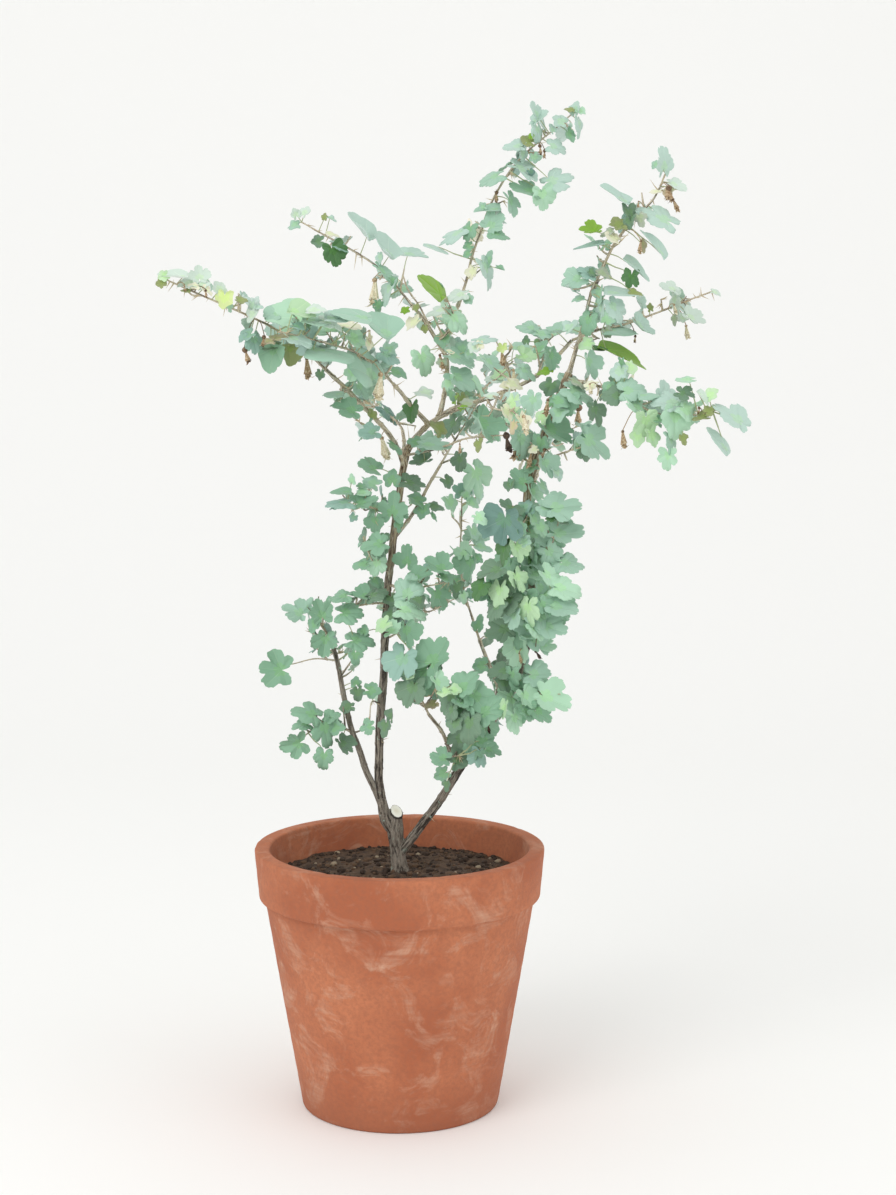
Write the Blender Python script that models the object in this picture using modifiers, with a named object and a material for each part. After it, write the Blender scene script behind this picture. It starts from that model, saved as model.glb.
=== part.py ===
"""A canyon gooseberry in a plain clay pot: a sparse shrub with three stems, lobed leaves and dry berries.

The origin is the middle of the pot's underside, +Z is up, and -Y faces the viewer. Run it with
blender --background --python part.py
"""

import math
import random

import bmesh
import bpy
from mathutils import Matrix, Vector
from mathutils.bvhtree import BVHTree

MM = 0.001
GAP = 0.3 * MM  # left between neighbours that touch
WELD = 0.01 * MM

# The pot and its soil
POT_HEIGHT = 245 * MM
POT_FOOT_RADIUS = 92 * MM
POT_MOUTH_RADIUS = 135 * MM
POT_WALL = 9 * MM
POT_FLOOR = 13 * MM
POT_EDGE = 2.5 * MM  # how far the edges are rounded over
RIM_HEIGHT = 46 * MM
RIM_PROUD = 5 * MM
RIM_TAPER = 4 * MM
POT_STEPS = 32
DRAIN_HOLES = 3
DRAIN_HOLE_RADIUS = 7 * MM
DRAIN_HOLE_CIRCLE = 48 * MM
SOIL_TOP = 220 * MM
SOIL_DIP = 4 * MM  # how much lower the soil lies at the clay than round the trunk
SOIL_FLAT_RADIUS = 30 * MM

# The trunk, from its flat cut on the soil to the pruned stub
TRUNK_VIA = ((-2, 0, 20), (-4, -1, 38), (-3, -2, 59))
TRUNK_RADII = ((0.0, 9.0), (0.14, 7.5), (0.45, 7.2), (0.66, 8.0), (0.86, 6.4), (1.0, 5.7))
STUB_CUT_FACING = (0.45, -0.6, 0.66)
CUT_DEPTH = 30 * MM  # of the wood that a flat cut takes away

# Growth
BOUGH_STEP = 20 * MM  # between the rings of a bough
STEM_STEP = 25 * MM  # between the rings of a leafy stem
KINK = 0.8 * MM  # how far a limb strays from side to side
FOOT_SWELL = 0.22  # a limb is this much thicker where it leaves its parent
FOOT_SWELL_LENGTH = 9 * MM
THICK_LIMB = 3.2 * MM  # limbs over this radius get more sides
GOLDEN_TURN = math.radians(137.5)
TWIG_RADII = (1.1 * MM, 0.7 * MM)
TWIG_RISE = 0.25  # how far a twig turns up over its length
TIP_REACH = 0.45  # the last twig of a stem, as a share of the first
STALK_RADIUS = 0.45 * MM
STALK_FACES = 4  # the last faces of a leaf, which may sink into its twig
STALK_SHARE = 0.30  # a leaf's stalk, as a share of its width
LEAF_THICKNESS = 0.04  # as a share of its width
LEAF_FOLD = 0.16  # how far the two halves of a leaf rise from its rib
LIGHT = Vector((0.08, -0.86, 0.50))  # where the lower leaves look
# Half a leaf's outline, across and along, in leaf widths. Small leaves have no heel
HEEL = (0.38, -0.04)
SIDE_LOBE = (0.50, 0.32)
LEAF_TIP = 0.88
LEAF_MIDDLE = 0.34
HEELED_WIDTH = 30 * MM
BERRY_SIZE = (3.4 * MM, 3.4 * MM, 6.0 * MM)
BERRY_STALK = 7 * MM

LIMBS = {}


def limb(name, on, at, via, thick, **foliage):
    """Describes a limb. It leaves limb `on` at the share `at` of its length and goes through the points
    `via`, in mm from the trunk's foot, and thick is its radius at foot and tip. bare is the share of it with
    no leaves, leaves and twigs are how many the rest bears, width is a leaf's at foot and tip, reach is the
    first side twig's length, and front is how far the leaves turn from the sky to the viewer."""
    usual = dict(bare=0, leaves=0, twigs=0, width=(26, 22), reach=20, front=0.9, berries=0)
    LIMBS[name] = dict(on=on, at=at, via=via, thick=thick) | usual | foliage


# Stems, and the boughs of the crown
limb("main_stem", "trunk", 0.52,
     ((-17, -4, 70), (-18, -10, 128), (-14, -15, 197), (-5, -9, 318), (8, 0, 394)),
     (4.3, 3.3), bare=1)
limb("left_stem", "main_stem", 0.08, ((-33, 16, 97), (-49, 30, 144), (-63, 43, 206), (-88, 52, 241)),
     (3.4, 2.0), bare=0.80, leaves=3, twigs=3, reach=26)
limb("right_stem", "trunk", 0.28, ((28, -10, 56), (54, -22, 99), (80, -35, 143), (103, -45, 179)),
     (4.4, 3.7), bare=1)
limb("right_upper", "right_stem", 1, ((118, -53, 235), (121, -58, 303), (117, -62, 367), (151, -75, 465)),
     (3.6, 3.1), bare=1)
limb("right_bough", "main_stem", 1,
     ((33, 4, 421), (80, -20, 441), (126, -30, 462), (159, -30, 495), (207, -15, 508), (287, 20, 537)),
     (2.9, 1.1), bare=0.56, leaves=9, twigs=2, width=(28, 18), reach=18, front=0.5, berries=1)
limb("right_crown", "right_upper", 1,
     ((158, -82, 493), (174, -92, 547), (194, -100, 585), (225, -100, 618), (231, -98, 635)),
     (3.0, 1.2), leaves=13, twigs=4, width=(33, 28), reach=22, front=0.6, berries=2)
limb("far_left", "main_stem", 0.96,
     ((-11, -20, 412), (-53, -60, 458), (-100, -110, 501), (-188, -158, 543)),
     (2.7, 1.1), bare=0.43, leaves=11, twigs=2, width=(38, 17), reach=17, front=0.45)
limb("left_inner", "right_bough", 0.09, ((8, -30, 440), (-8, -70, 460), (-36, -127, 484), (-94, -180, 501)),
     (2.3, 1.1), bare=0.33, leaves=9, twigs=2, width=(40, 29), reach=18, front=0.5)
limb("upper_left", "right_bough", 0.125, ((44, 26, 458), (36, 36, 491), (-20, 55, 559), (-92, 80, 602)),
     (2.6, 1.1), bare=0.47, leaves=9, twigs=1, width=(34, 17), reach=16, front=0.5)
limb("top", "upper_left", 0.285, ((62, 70, 545), (73, 80, 588), (102, 92, 649), (161, 100, 703)),
     (2.4, 1.1), bare=0.20, leaves=13, twigs=3, width=(34, 20), reach=17, front=0.6, berries=1)
limb("far_right", "right_upper", 0.975, ((176, -100, 454), (228, -132, 430), (268, -148, 434)),
     (2.2, 1.1), bare=0.14, leaves=8, twigs=3, width=(30, 27), reach=22, front=0.55, berries=2)
limb("front", "right_bough", 0.235, ((81, -60, 444), (91, -110, 442), (110, -195, 425)),
     (2.0, 1.0), bare=0.34, leaves=6, twigs=2, width=(27, 21), reach=24, front=0.5)
limb("back", "right_bough", 0.147, ((50, 60, 429), (70, 130, 437), (111, 235, 470)),
     (2.2, 1.0), bare=0.30, leaves=6, twigs=2, width=(30, 23), reach=30, front=0.15)
limb("back_left", "main_stem", 0.93, ((4, 40, 404), (-10, 100, 420), (-49, 210, 435)),
     (2.2, 1.0), bare=0.28, leaves=6, twigs=2, width=(30, 23), reach=30, front=0.15)
limb("back_right", "right_upper", 0.645, ((126, 0, 369), (136, 60, 388), (168, 165, 432)),
     (2.2, 1.0), bare=0.28, leaves=6, twigs=2, width=(30, 23), reach=30, front=0.15)
# Inner boughs
limb("inner", "main_stem", 0.775, ((12, 6, 333), (44, 35, 388), (76, 70, 439)),
     (2.2, 1.0), bare=0.52, leaves=5, twigs=1, width=(25, 22), front=0.6)
limb("middle", "right_stem", 0.93, ((81, -5, 201), (68, 20, 234), (57, 45, 280), (58, 65, 344)),
     (2.3, 1.0), bare=0.34, leaves=7, twigs=2, width=(28, 24), reach=22, front=0.85)
limb("low_middle", "right_stem", 0.53, ((37, -45, 144), (23, -58, 168), (10, -73, 222)),
     (2.3, 1.1), bare=0.50, leaves=5, twigs=3, width=(34, 28), reach=26)
# Leafy shoots of the main stem
limb("main_foot_shoot", "main_stem", 0.36, ((-24, -32, 166), (-26, -46, 150)),
     (1.3, 0.8), leaves=3, width=(21, 19))
limb("main_low_left", "main_stem", 0.616, ((-29, -20, 254), (-50, -27, 249)),
     (1.5, 0.9), leaves=3, width=(24, 22))
limb("main_middle_left", "main_stem", 0.692, ((-23, -30, 294), (-31, -43, 318)),
     (1.5, 0.9), leaves=3, twigs=1, width=(24, 20), reach=16)
limb("main_high_left", "main_stem", 0.833, ((-34, -20, 345), (-46, -35, 346)),
     (1.6, 0.9), leaves=4, twigs=2, width=(25, 22), reach=20)
limb("main_middle_right", "main_stem", 0.66, ((14, -35, 271), (47, -62, 280)),
     (1.7, 0.9), leaves=5, twigs=3, width=(29, 25), reach=25)
limb("low_back", "main_stem", 0.52, ((2, 30, 243), (24, 85, 233), (50, 160, 236)),
     (2.0, 0.9), leaves=5, twigs=3, width=(29, 23), reach=28, front=0.1)
# Leafy shoots of the left stem
limb("left_low", "left_stem", 0.385, ((-66, 20, 139), (-92, 10, 124)),
     (1.7, 0.9), leaves=4, twigs=3, reach=23)
limb("left_lone", "left_stem", 0.72, ((-86, 50, 193), (-101, 45, 189)),
     (1.2, 0.8), width=(34, 34), front=1)
limb("left_back", "left_stem", 0.60, ((-62, 70, 190), (-70, 115, 200)),
     (1.6, 0.9), leaves=4, twigs=2, width=(25, 21), reach=24, front=0.1)
# Leafy shoots of the right stem, from the bottom up
limb("right_low", "right_stem", 0.619, ((60, -48, 120), (44, -68, 122)), (1.6, 0.9), leaves=4, twigs=2)
limb("bend_inner", "right_stem", 0.834, ((66, -70, 170), (45, -92, 190)),
     (1.8, 0.9), leaves=5, twigs=3, width=(32, 27), reach=26)
limb("bend_back", "right_stem", 0.775, ((88, 10, 160), (97, 55, 186), (112, 120, 222)),
     (2.0, 0.9), leaves=5, twigs=3, width=(29, 24), reach=28, front=0.1)
limb("bend_outer", "right_upper", 0.03, ((125, -70, 182), (144, -92, 183)),
     (1.7, 0.9), leaves=4, twigs=2, width=(29, 26), reach=17)
limb("lower_outer", "right_upper", 0.161, ((130, -80, 243), (138, -96, 268)),
     (1.7, 0.9), leaves=5, twigs=2, width=(29, 26))
limb("lower_inner", "right_upper", 0.288, ((112, -84, 262), (97, -100, 262), (82, -106, 278)),
     (1.7, 0.9), leaves=6, twigs=2, width=(29, 26))
limb("middle_outer", "right_upper", 0.431, ((136, -85, 314), (142, -96, 338)),
     (1.7, 0.9), leaves=5, twigs=2, width=(28, 25))
limb("middle_inner", "right_upper", 0.576, ((110, -88, 334), (96, -108, 328), (88, -112, 340)),
     (1.7, 0.9), leaves=5, twigs=2, width=(31, 26))
limb("high_outer", "right_upper", 0.708, ((143, -85, 395), (162, -100, 402)),
     (1.7, 0.9), leaves=4, twigs=2, width=(31, 26), front=0.8, berries=1)
# Leafy shoots of the crown's middle
limb("centre_low", "right_bough", 0.277, ((96, -50, 419), (120, -72, 402)),
     (1.6, 0.9), leaves=4, twigs=2, width=(25, 21), front=0.7, berries=2)
limb("centre_high", "right_bough", 0.355, ((98, -15, 471), (88, -30, 492)),
     (1.6, 0.9), leaves=4, twigs=2, width=(25, 21), front=0.6, berries=1)
limb("centre_right", "right_bough", 0.43, ((132, 0, 484), (128, 22, 506)),
     (1.6, 0.9), leaves=4, twigs=2, width=(24, 20), front=0.5)
limb("centre_front", "main_stem", 0.985, ((35, -30, 396), (64, -70, 408), (92, -130, 413)),
     (1.9, 0.9), leaves=5, twigs=2, width=(27, 22), front=0.7)
limb("upper_middle", "upper_left", 0.31, ((50, 10, 508), (44, -8, 530)),
     (1.6, 0.9), leaves=4, twigs=2, width=(29, 25), front=0.7)
limb("upper_back", "upper_left", 0.36, ((20, 75, 520), (0, 130, 548)),
     (1.8, 0.9), leaves=5, twigs=2, width=(28, 22), reach=25, front=0.2)
limb("far_left_low", "far_left", 0.354, ((-50, -68, 438), (-30, -78, 420)),
     (1.5, 0.9), leaves=4, twigs=1, width=(27, 24), front=0.8, berries=1)


def mesh_object(name, mesh, collection):
    obj = bpy.data.objects.new(name, mesh)
    collection.objects.link(obj)
    return obj


def evaluated_mesh(obj):
    graph = bpy.context.evaluated_depsgraph_get()
    return bpy.data.meshes.new_from_object(obj.evaluated_get(graph))


def remove(obj):
    data = obj.data
    bpy.data.objects.remove(obj)
    if isinstance(data, bpy.types.Mesh):
        bpy.data.meshes.remove(data)
    else:
        bpy.data.curves.remove(data)


def paint(obj, colour, roughness):
    material = bpy.data.materials.new(obj.name)
    material.use_nodes = True
    shader = material.node_tree.nodes["Principled BSDF"]
    shader.inputs["Base Color"].default_value = (*colour, 1)
    shader.inputs["Roughness"].default_value = roughness
    shader.inputs["Metallic"].default_value = 0
    obj.data.materials.clear()
    obj.data.materials.append(material)


def shade(obj):
    obj.data.shade_smooth()
    obj.data.set_sharp_from_angle(angle=math.radians(40))


def boolean(obj, operation, other=None, group=None, solver="EXACT"):
    """Joins or cuts obj with one object or with a collection, and applies it."""
    modifier = obj.modifiers.new(operation.lower(), "BOOLEAN")
    modifier.operation = operation
    modifier.solver = solver
    if group:
        modifier.operand_type = "COLLECTION"
        modifier.collection = group
    else:
        modifier.object = other
    mesh = evaluated_mesh(obj)
    before = obj.data
    obj.modifiers.clear()
    obj.data = mesh
    bpy.data.meshes.remove(before)


def closed_mesh(name, points, faces):
    """A mesh from points and faces, with its faces turned outwards."""
    mesh = bpy.data.meshes.new(name)
    mesh.from_pydata(points, [], faces)
    work = bmesh.new()
    work.from_mesh(mesh)
    bmesh.ops.recalc_face_normals(work, faces=work.faces)
    work.to_mesh(mesh)
    work.free()
    return mesh


def keep_largest(obj):
    """Leaves only the largest of the separate pieces in a mesh."""
    work = bmesh.new()
    work.from_mesh(obj.data)
    left, islands = set(work.faces), []
    while left:
        island, edge = set(), [left.pop()]
        while edge:
            face = edge.pop()
            island.add(face)
            near = {other for side in face.edges for other in side.link_faces} & left
            left -= near
            edge.extend(near)
        islands.append(island)
    islands.sort(key=lambda island: sum(face.calc_area() for face in island))
    for island in islands[:-1]:
        bmesh.ops.delete(work, geom=list(island), context="FACES")
    work.to_mesh(obj.data)
    work.free()


class Path:
    """A smooth line of even steps through a few points, and its radius from end to end."""

    def __init__(self, name, through, radii, step, start=0.0, end=1.0, kink=KINK):
        draw = random.Random(name)
        ends = [2 * through[0] - through[1], *through, 2 * through[-1] - through[-2]]
        fine = []
        for before, here, there, after in zip(ends, ends[1:], ends[2:], ends[3:]):
            for part in range(16):
                t = part / 16
                bend = 2 * before - 5 * here + 4 * there - after
                twist = 3 * here - before - 3 * there + after
                fine.append(0.5 * (2 * here + (there - before) * t + bend * t * t + twist * t**3))
        fine.append(through[-1])
        lengths = [0.0]
        for one, two in zip(fine, fine[1:]):
            lengths.append(lengths[-1] + (two - one).length)
        self.length = lengths[-1] * (end - start)
        count = max(2, round(self.length / step) + 1)
        self.points = []
        for index in range(count):
            wanted = lengths[-1] * (start + (end - start) * index / (count - 1))
            after = next(n for n, length in enumerate(lengths[1:], 1) if length >= wanted - 1e-9)
            share = (wanted - lengths[after - 1]) / (lengths[after] - lengths[after - 1])
            self.points.append(fine[after - 1].lerp(fine[after], share))
        for index in range(1, count - 1):
            aside = Vector((draw.uniform(-1, 1), draw.uniform(-1, 1), draw.uniform(-0.3, 0.3)))
            self.points[index] += kink * aside
        foot, tip = radii
        self.radii = []
        for index in range(count):
            share = start + (end - start) * index / (count - 1)
            swell = FOOT_SWELL * math.exp(-share * lengths[-1] / FOOT_SWELL_LENGTH)
            self.radii.append((foot + (tip - foot) * share) * (1 + swell))

    def at(self, share):
        """Point and direction at a share of the length."""
        along = min(max(share, 0.0), 1.0) * (len(self.points) - 1)
        index = min(int(along), len(self.points) - 2)
        one, two = self.points[index], self.points[index + 1]
        return one.lerp(two, along - index), (two - one).normalized()

    def tube(self, name, collection, roundness, swell=0.0):
        """A closed tube along the path. roundness 0 gives four sides, and each more adds two."""
        curve = bpy.data.curves.new(name, "CURVE")
        curve.dimensions = "3D"
        curve.bevel_depth = 1.0
        curve.bevel_resolution = roundness
        curve.use_fill_caps = True
        spline = curve.splines.new("POLY")
        spline.points.add(len(self.points) - 1)
        points = [*self.points[:-1], self.points[-1] + self.at(1)[1] * swell]
        for knot, point, radius in zip(spline.points, points, self.radii):
            knot.co = (*point, 1.0)
            knot.radius = radius + swell
        guide = mesh_object(name, curve, bpy.context.scene.collection)
        mesh = evaluated_mesh(guide)
        remove(guide)
        work = bmesh.new()
        work.from_mesh(mesh)
        bmesh.ops.remove_doubles(work, verts=work.verts, dist=WELD)
        bmesh.ops.recalc_face_normals(work, faces=work.faces)
        work.to_mesh(mesh)
        work.free()
        return mesh_object(name, mesh, collection)


def tree_of(mesh):
    return BVHTree.FromPolygons([v.co for v in mesh.vertices], [p.vertices for p in mesh.polygons])


def leaf_mesh(root, direction, facing, stalk, width, margin=0.0):
    """A closed leaf on a three-sided stalk: a lobed blade, folded along its rib and thin at its edge.
    margin swells it, for testing what it would touch."""
    across = direction.cross(facing).normalized()
    up = (facing - facing.dot(direction) * direction * 0.5).normalized()
    along = up.cross(across).normalized()
    base = root + direction * stalk
    middle = base + along * LEAF_MIDDLE * width
    thickness = max(LEAF_THICKNESS * width, 0.9 * MM) / 2 + margin
    half = [HEEL, SIDE_LOBE] if width >= HEELED_WIDTH else [SIDE_LOBE]
    ring = []
    for x, y in half + [(0.0, LEAF_TIP)] + [(-x, y) for x, y in reversed(half)]:
        point = base + width * (across * x + along * y + up * LEAF_FOLD * abs(x))
        ring.append(point + (point - middle).normalized() * margin)
    radius = STALK_RADIUS + margin
    corners = [across * radius, across * -radius, up * radius * -1.6]
    ring = [base + corners[0], *ring, base + corners[1]]
    points = ring + [middle + up * thickness, middle - up * thickness, base + corners[2]]
    points += [root + corner for corner in corners]
    last = len(ring) - 1
    top, bottom, under, right, left, below = range(last + 1, last + 7)
    faces = [(top, n, n + 1) for n in range(last)] + [(bottom, n + 1, n) for n in range(last)]
    faces += [(top, last, 0), (bottom, 0, under), (bottom, under, last)]
    faces += [(0, last, left, right), (0, right, below, under)]
    faces += [(last, under, below, left), (right, left, below)]
    return closed_mesh("leaf", points, faces)


def twig_mesh(root, end, margin=0.0):
    """A straight, three-sided, tapering side twig."""
    work = bmesh.new()
    line = end - root
    turn = line.to_track_quat("Z", "Y").to_matrix().to_4x4()
    bmesh.ops.create_cone(
        work, cap_ends=True, segments=3, radius1=TWIG_RADII[0] + margin, radius2=TWIG_RADII[1] + margin,
        depth=line.length, matrix=Matrix.Translation((root + end) / 2) @ turn,
    )
    mesh = bpy.data.meshes.new("twig")
    work.to_mesh(mesh)
    work.free()
    return mesh


def berry_mesh(root, margin=0.0):
    """A dry berry that hangs on a short stalk."""
    work = bmesh.new()
    middle = root - Vector((0, 0, BERRY_STALK + BERRY_SIZE[2]))
    bmesh.ops.create_uvsphere(
        work, u_segments=5, v_segments=4, radius=1.0,
        matrix=Matrix.Translation(middle) @ Matrix.Diagonal((*[side + margin for side in BERRY_SIZE], 1)),
    )
    for vertex in work.verts:
        if vertex.co.z > middle.z + BERRY_SIZE[2] * 0.99:
            vertex.co.z = root.z
        elif vertex.co.z > middle.z + BERRY_SIZE[2] * 0.5:
            vertex.co = middle.lerp(vertex.co, 0.8)
    mesh = bpy.data.meshes.new("berry")
    work.to_mesh(mesh)
    work.free()
    return mesh


def growth(name, stem, spec):
    """The sprigs of one stem, as the seeded rule draws them. A sprig is a list of pieces: a leaf, a berry,
    or a side twig and the leaves on it. A piece is its kind and what the function that makes it needs."""
    draw = random.Random(name + " growth")
    turn = draw.uniform(0, math.tau)
    shoots = spec["leaves"] + spec["twigs"]
    sky = Vector((0, 0, 1))

    def leaf(root, direction, share):
        foot_width, tip_width = spec["width"]
        width = (foot_width + (tip_width - foot_width) * share) * draw.uniform(0.82, 1.15) * MM
        stalk = STALK_SHARE * width * draw.uniform(0.75, 1.35)
        outward = Vector((root.x, root.y, 0)).normalized()
        loose = Vector((draw.gauss(0, 0.3), draw.gauss(0, 0.3), draw.gauss(0, 0.3)))
        facing = LIGHT * spec["front"] + (sky + outward * 0.45) * (1 - spec["front"]) + loose
        return "leaf", root, direction, facing.normalized(), stalk, width

    for shoot in range(shoots):
        share = (shoot + 0.55) / shoots
        turn += GOLDEN_TURN + draw.uniform(-0.4, 0.4)
        root, forward = stem.at(0.08 + 0.92 * share)
        side = forward.cross(Vector((0.2, 0.1, 1.0))).normalized()
        sideways = side * math.cos(turn) + forward.cross(side) * math.sin(turn)
        direction = (sideways + forward * draw.uniform(0.3, 0.8)).normalized()
        if (shoot * spec["twigs"]) // shoots == ((shoot - 1) * spec["twigs"]) // shoots:
            yield [leaf(root, direction, share)]
            continue
        length = spec["reach"] * MM * (1 - (1 - TIP_REACH) * share) * draw.uniform(0.85, 1.15)
        end = root + (direction + sky * TWIG_RISE) * length
        onward = (end - root).normalized()
        bend = onward.cross(sideways.cross(forward)).normalized() * draw.choice((-1, 1))
        aside = (bend + onward * 0.7).normalized()
        yield [
            ("twig", root, end),
            leaf(root.lerp(end, 0.6), aside, share),
            leaf(root.lerp(end, 0.97), onward, share),
        ]
    yield [leaf(*stem.at(0.99), 1.0)]
    for berry in range(spec["berries"]):
        yield [("berry", stem.at((berry + 0.7) / spec["berries"])[0])]


class Obstacles:
    """What has been made so far, with the clearance that a new leaf or twig has to keep to it."""

    def __init__(self):
        self.things = []

    def add(self, mesh, owner):
        corners = [v.co.copy() for v in mesh.vertices]
        low = Vector(min(c[axis] for c in corners) for axis in range(3))
        high = Vector(max(c[axis] for c in corners) for axis in range(3))
        self.things.append((low, high, tree_of(mesh), owner))

    def touches(self, mesh, owner, free_faces):
        """Whether a mesh touches another mass or a limb, or its own mass with any but its last free_faces."""
        corners = [v.co for v in mesh.vertices]
        low = [min(c[axis] for c in corners) for axis in range(3)]
        high = [max(c[axis] for c in corners) for axis in range(3)]
        tree = tree_of(mesh)
        bound = len(mesh.polygons) - free_faces
        for other_low, other_high, other, other_owner in self.things:
            if any(low[a] > other_high[a] or high[a] < other_low[a] for a in range(3)):
                continue
            pairs = tree.overlap(other)
            if any(other_owner != owner or face < bound for face, _ in pairs):
                return True
        return False


def make_pot(parts, cutters):
    """A turned clay pot with a rim band and drain holes, open at the top."""
    rim_foot = POT_HEIGHT - RIM_HEIGHT
    mouth_inside = POT_MOUTH_RADIUS - RIM_PROUD - POT_WALL
    body_top = POT_MOUTH_RADIUS - RIM_TAPER - RIM_PROUD
    slope = (body_top - POT_FOOT_RADIUS) / rim_foot
    foot_inside = POT_FOOT_RADIUS - POT_WALL + slope * POT_FLOOR
    profile = [
        (0, POT_FLOOR),
        (foot_inside - POT_EDGE, POT_FLOOR),
        (foot_inside, POT_FLOOR + POT_EDGE),
        (mouth_inside, POT_HEIGHT - POT_EDGE),
        (mouth_inside + POT_EDGE, POT_HEIGHT),
        (POT_MOUTH_RADIUS - POT_EDGE, POT_HEIGHT),
        (POT_MOUTH_RADIUS, POT_HEIGHT - POT_EDGE),
        (POT_MOUTH_RADIUS - RIM_TAPER, rim_foot + POT_EDGE),
        (POT_MOUTH_RADIUS - RIM_TAPER - POT_EDGE, rim_foot),
        (body_top, rim_foot),
        (POT_FOOT_RADIUS + POT_EDGE * slope, POT_EDGE),
        (POT_FOOT_RADIUS - POT_EDGE, 0),
        (0, 0),
    ]
    pot = turned("pot", profile, parts)
    for hole in range(DRAIN_HOLES):
        angle = math.tau * (hole + 0.5) / DRAIN_HOLES
        bpy.ops.mesh.primitive_cylinder_add(
            vertices=16, radius=DRAIN_HOLE_RADIUS, depth=4 * POT_FLOOR,
            location=(DRAIN_HOLE_CIRCLE * math.cos(angle), DRAIN_HOLE_CIRCLE * math.sin(angle), 0),
        )
        cutter = bpy.context.object
        move_to(cutter, cutters)
        boolean(pot, "DIFFERENCE", cutter)
        remove(cutter)
    shade(pot)
    paint(pot, (0.56, 0.25, 0.14), 0.85)
    return foot_inside, mouth_inside


def make_soil(parts, foot_inside, mouth_inside):
    """The potting soil: a turned body that fills the pot to a little below its rim."""

    def inside(height):
        share = (height - POT_FLOOR - POT_EDGE) / (POT_HEIGHT - 2 * POT_EDGE - POT_FLOOR)
        return foot_inside + (mouth_inside - foot_inside) * share - GAP * 1.5

    floor = POT_FLOOR + GAP
    profile = [
        (0, SOIL_TOP),
        (SOIL_FLAT_RADIUS, SOIL_TOP),
        (inside(SOIL_TOP) * 0.75, SOIL_TOP - SOIL_DIP * 0.4),
        (inside(SOIL_TOP - SOIL_DIP), SOIL_TOP - SOIL_DIP),
        (inside(floor + POT_EDGE), floor + POT_EDGE),
        (foot_inside - POT_EDGE - GAP, floor),
        (0, floor),
    ]
    soil = turned("soil", profile, parts)
    shade(soil)
    paint(soil, (0.07, 0.048, 0.032), 0.95)


def turned(name, profile, parts):
    mesh = bpy.data.meshes.new(name)
    points = [(radius, 0, height) for radius, height in profile]
    mesh.from_pydata(points, [(n, n + 1) for n in range(len(points) - 1)], [])
    obj = mesh_object(name, mesh, parts)
    screw = obj.modifiers.new("turn", "SCREW")
    screw.steps = screw.render_steps = POT_STEPS
    screw.use_merge_vertices = True
    screw.merge_threshold = WELD
    turned_mesh = evaluated_mesh(obj)
    obj.modifiers.clear()
    obj.data = turned_mesh
    bpy.data.meshes.remove(mesh)
    return obj


def move_to(obj, collection):
    for old in list(obj.users_collection):
        old.objects.unlink(obj)
    collection.objects.link(obj)
    obj.hide_render = True
    obj.display_type = "WIRE"


def above_soil(point):
    return Vector(point) * MM + Vector((0, 0, SOIL_TOP + GAP))


def make_trunk(parts, cutters):
    """The short trunk: flared, a little crooked, cut flat on the soil, and pruned to a slanting stub."""
    sunk = above_soil((0.6, 0, -12))
    path = Path("trunk", [sunk, above_soil((0, 0, 0)), *map(above_soil, TRUNK_VIA)], (1, 1), 6 * MM, kink=0)
    total = above_soil(TRUNK_VIA[-1]).z - above_soil((0, 0, 0)).z
    path.radii = []
    for point in path.points:
        share = min(max((point.z - SOIL_TOP) / total, 0), 1)
        path.radii.append(MM * along_table(TRUNK_RADII, share))
    trunk = path.tube("trunk", parts, 3)
    low, high = path.points[0], path.points[-1]
    stub = high - (high - low).normalized() * MM
    for at, facing in ((above_soil((0, 0, 0)), (0, 0, -1)), (stub, STUB_CUT_FACING)):
        bpy.ops.mesh.primitive_cube_add(size=2 * CUT_DEPTH)
        cutter = bpy.context.object
        turn = Vector(facing).to_track_quat("Z", "Y").to_matrix().to_4x4()
        outward = Matrix.Translation((0, 0, CUT_DEPTH))
        cutter.data.transform(Matrix.Translation(at) @ turn @ outward)
        move_to(cutter, cutters)
        boolean(trunk, "DIFFERENCE", cutter)
        remove(cutter)
    path.points = [point for point in path.points if point.z > above_soil((0, 0, -1)).z]
    path.radii = path.radii[-len(path.points):]
    return trunk, path


def along_table(table, share):
    for (one, first), (two, second) in zip(table, table[1:]):
        if share <= two:
            return first + (second - first) * (share - one) / (two - one)
    return table[-1][1]


def make_limbs(parts, cutters):
    """Every bough, cut 0.3 mm clear of the limbs it leaves, and every leafy stem, which grow() fills."""
    trunk, trunk_path = make_trunk(parts, cutters)
    whole = {"trunk": trunk_path}
    wood = {"trunk": trunk}
    swollen = {"trunk": trunk_path.tube("round trunk", cutters, 3, GAP * 1.2)}
    stems = {}
    for name, spec in LIMBS.items():
        foot, _ = whole[spec["on"]].at(spec["at"])
        through = [foot, *map(above_soil, spec["via"])]
        radii = [radius * MM for radius in spec["thick"]]
        whole[name] = Path(name, through, radii, BOUGH_STEP / 2, kink=0)
        bare = spec["bare"]
        if bare > 0:
            path = Path(name, through, radii, BOUGH_STEP, 0.0, bare)
            roundness = 2 if radii[0] > THICK_LIMB else 1
            wood[name] = path.tube(name, parts, roundness)
            cut_clear(wood[name], swollen)
            swollen[name] = path.tube("round " + name, cutters, roundness, GAP * 1.2)
        if bare < 1:
            path = Path(name + " stem", through, radii, STEM_STEP, bare, 1.0)
            stems[name] = path, path.tube(name + "_leaves", parts, 0)
            cut_clear(stems[name][1], swollen)
    return wood, swollen, stems


def cut_clear(obj, swollen):
    """Cuts an object back from every swollen limb that it reaches into."""
    tree = tree_of(obj.data)
    for name, cutter in swollen.items():
        if tree.overlap(tree_of(cutter.data)):
            boolean(obj, "DIFFERENCE", cutter)
            keep_largest(obj)


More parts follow.
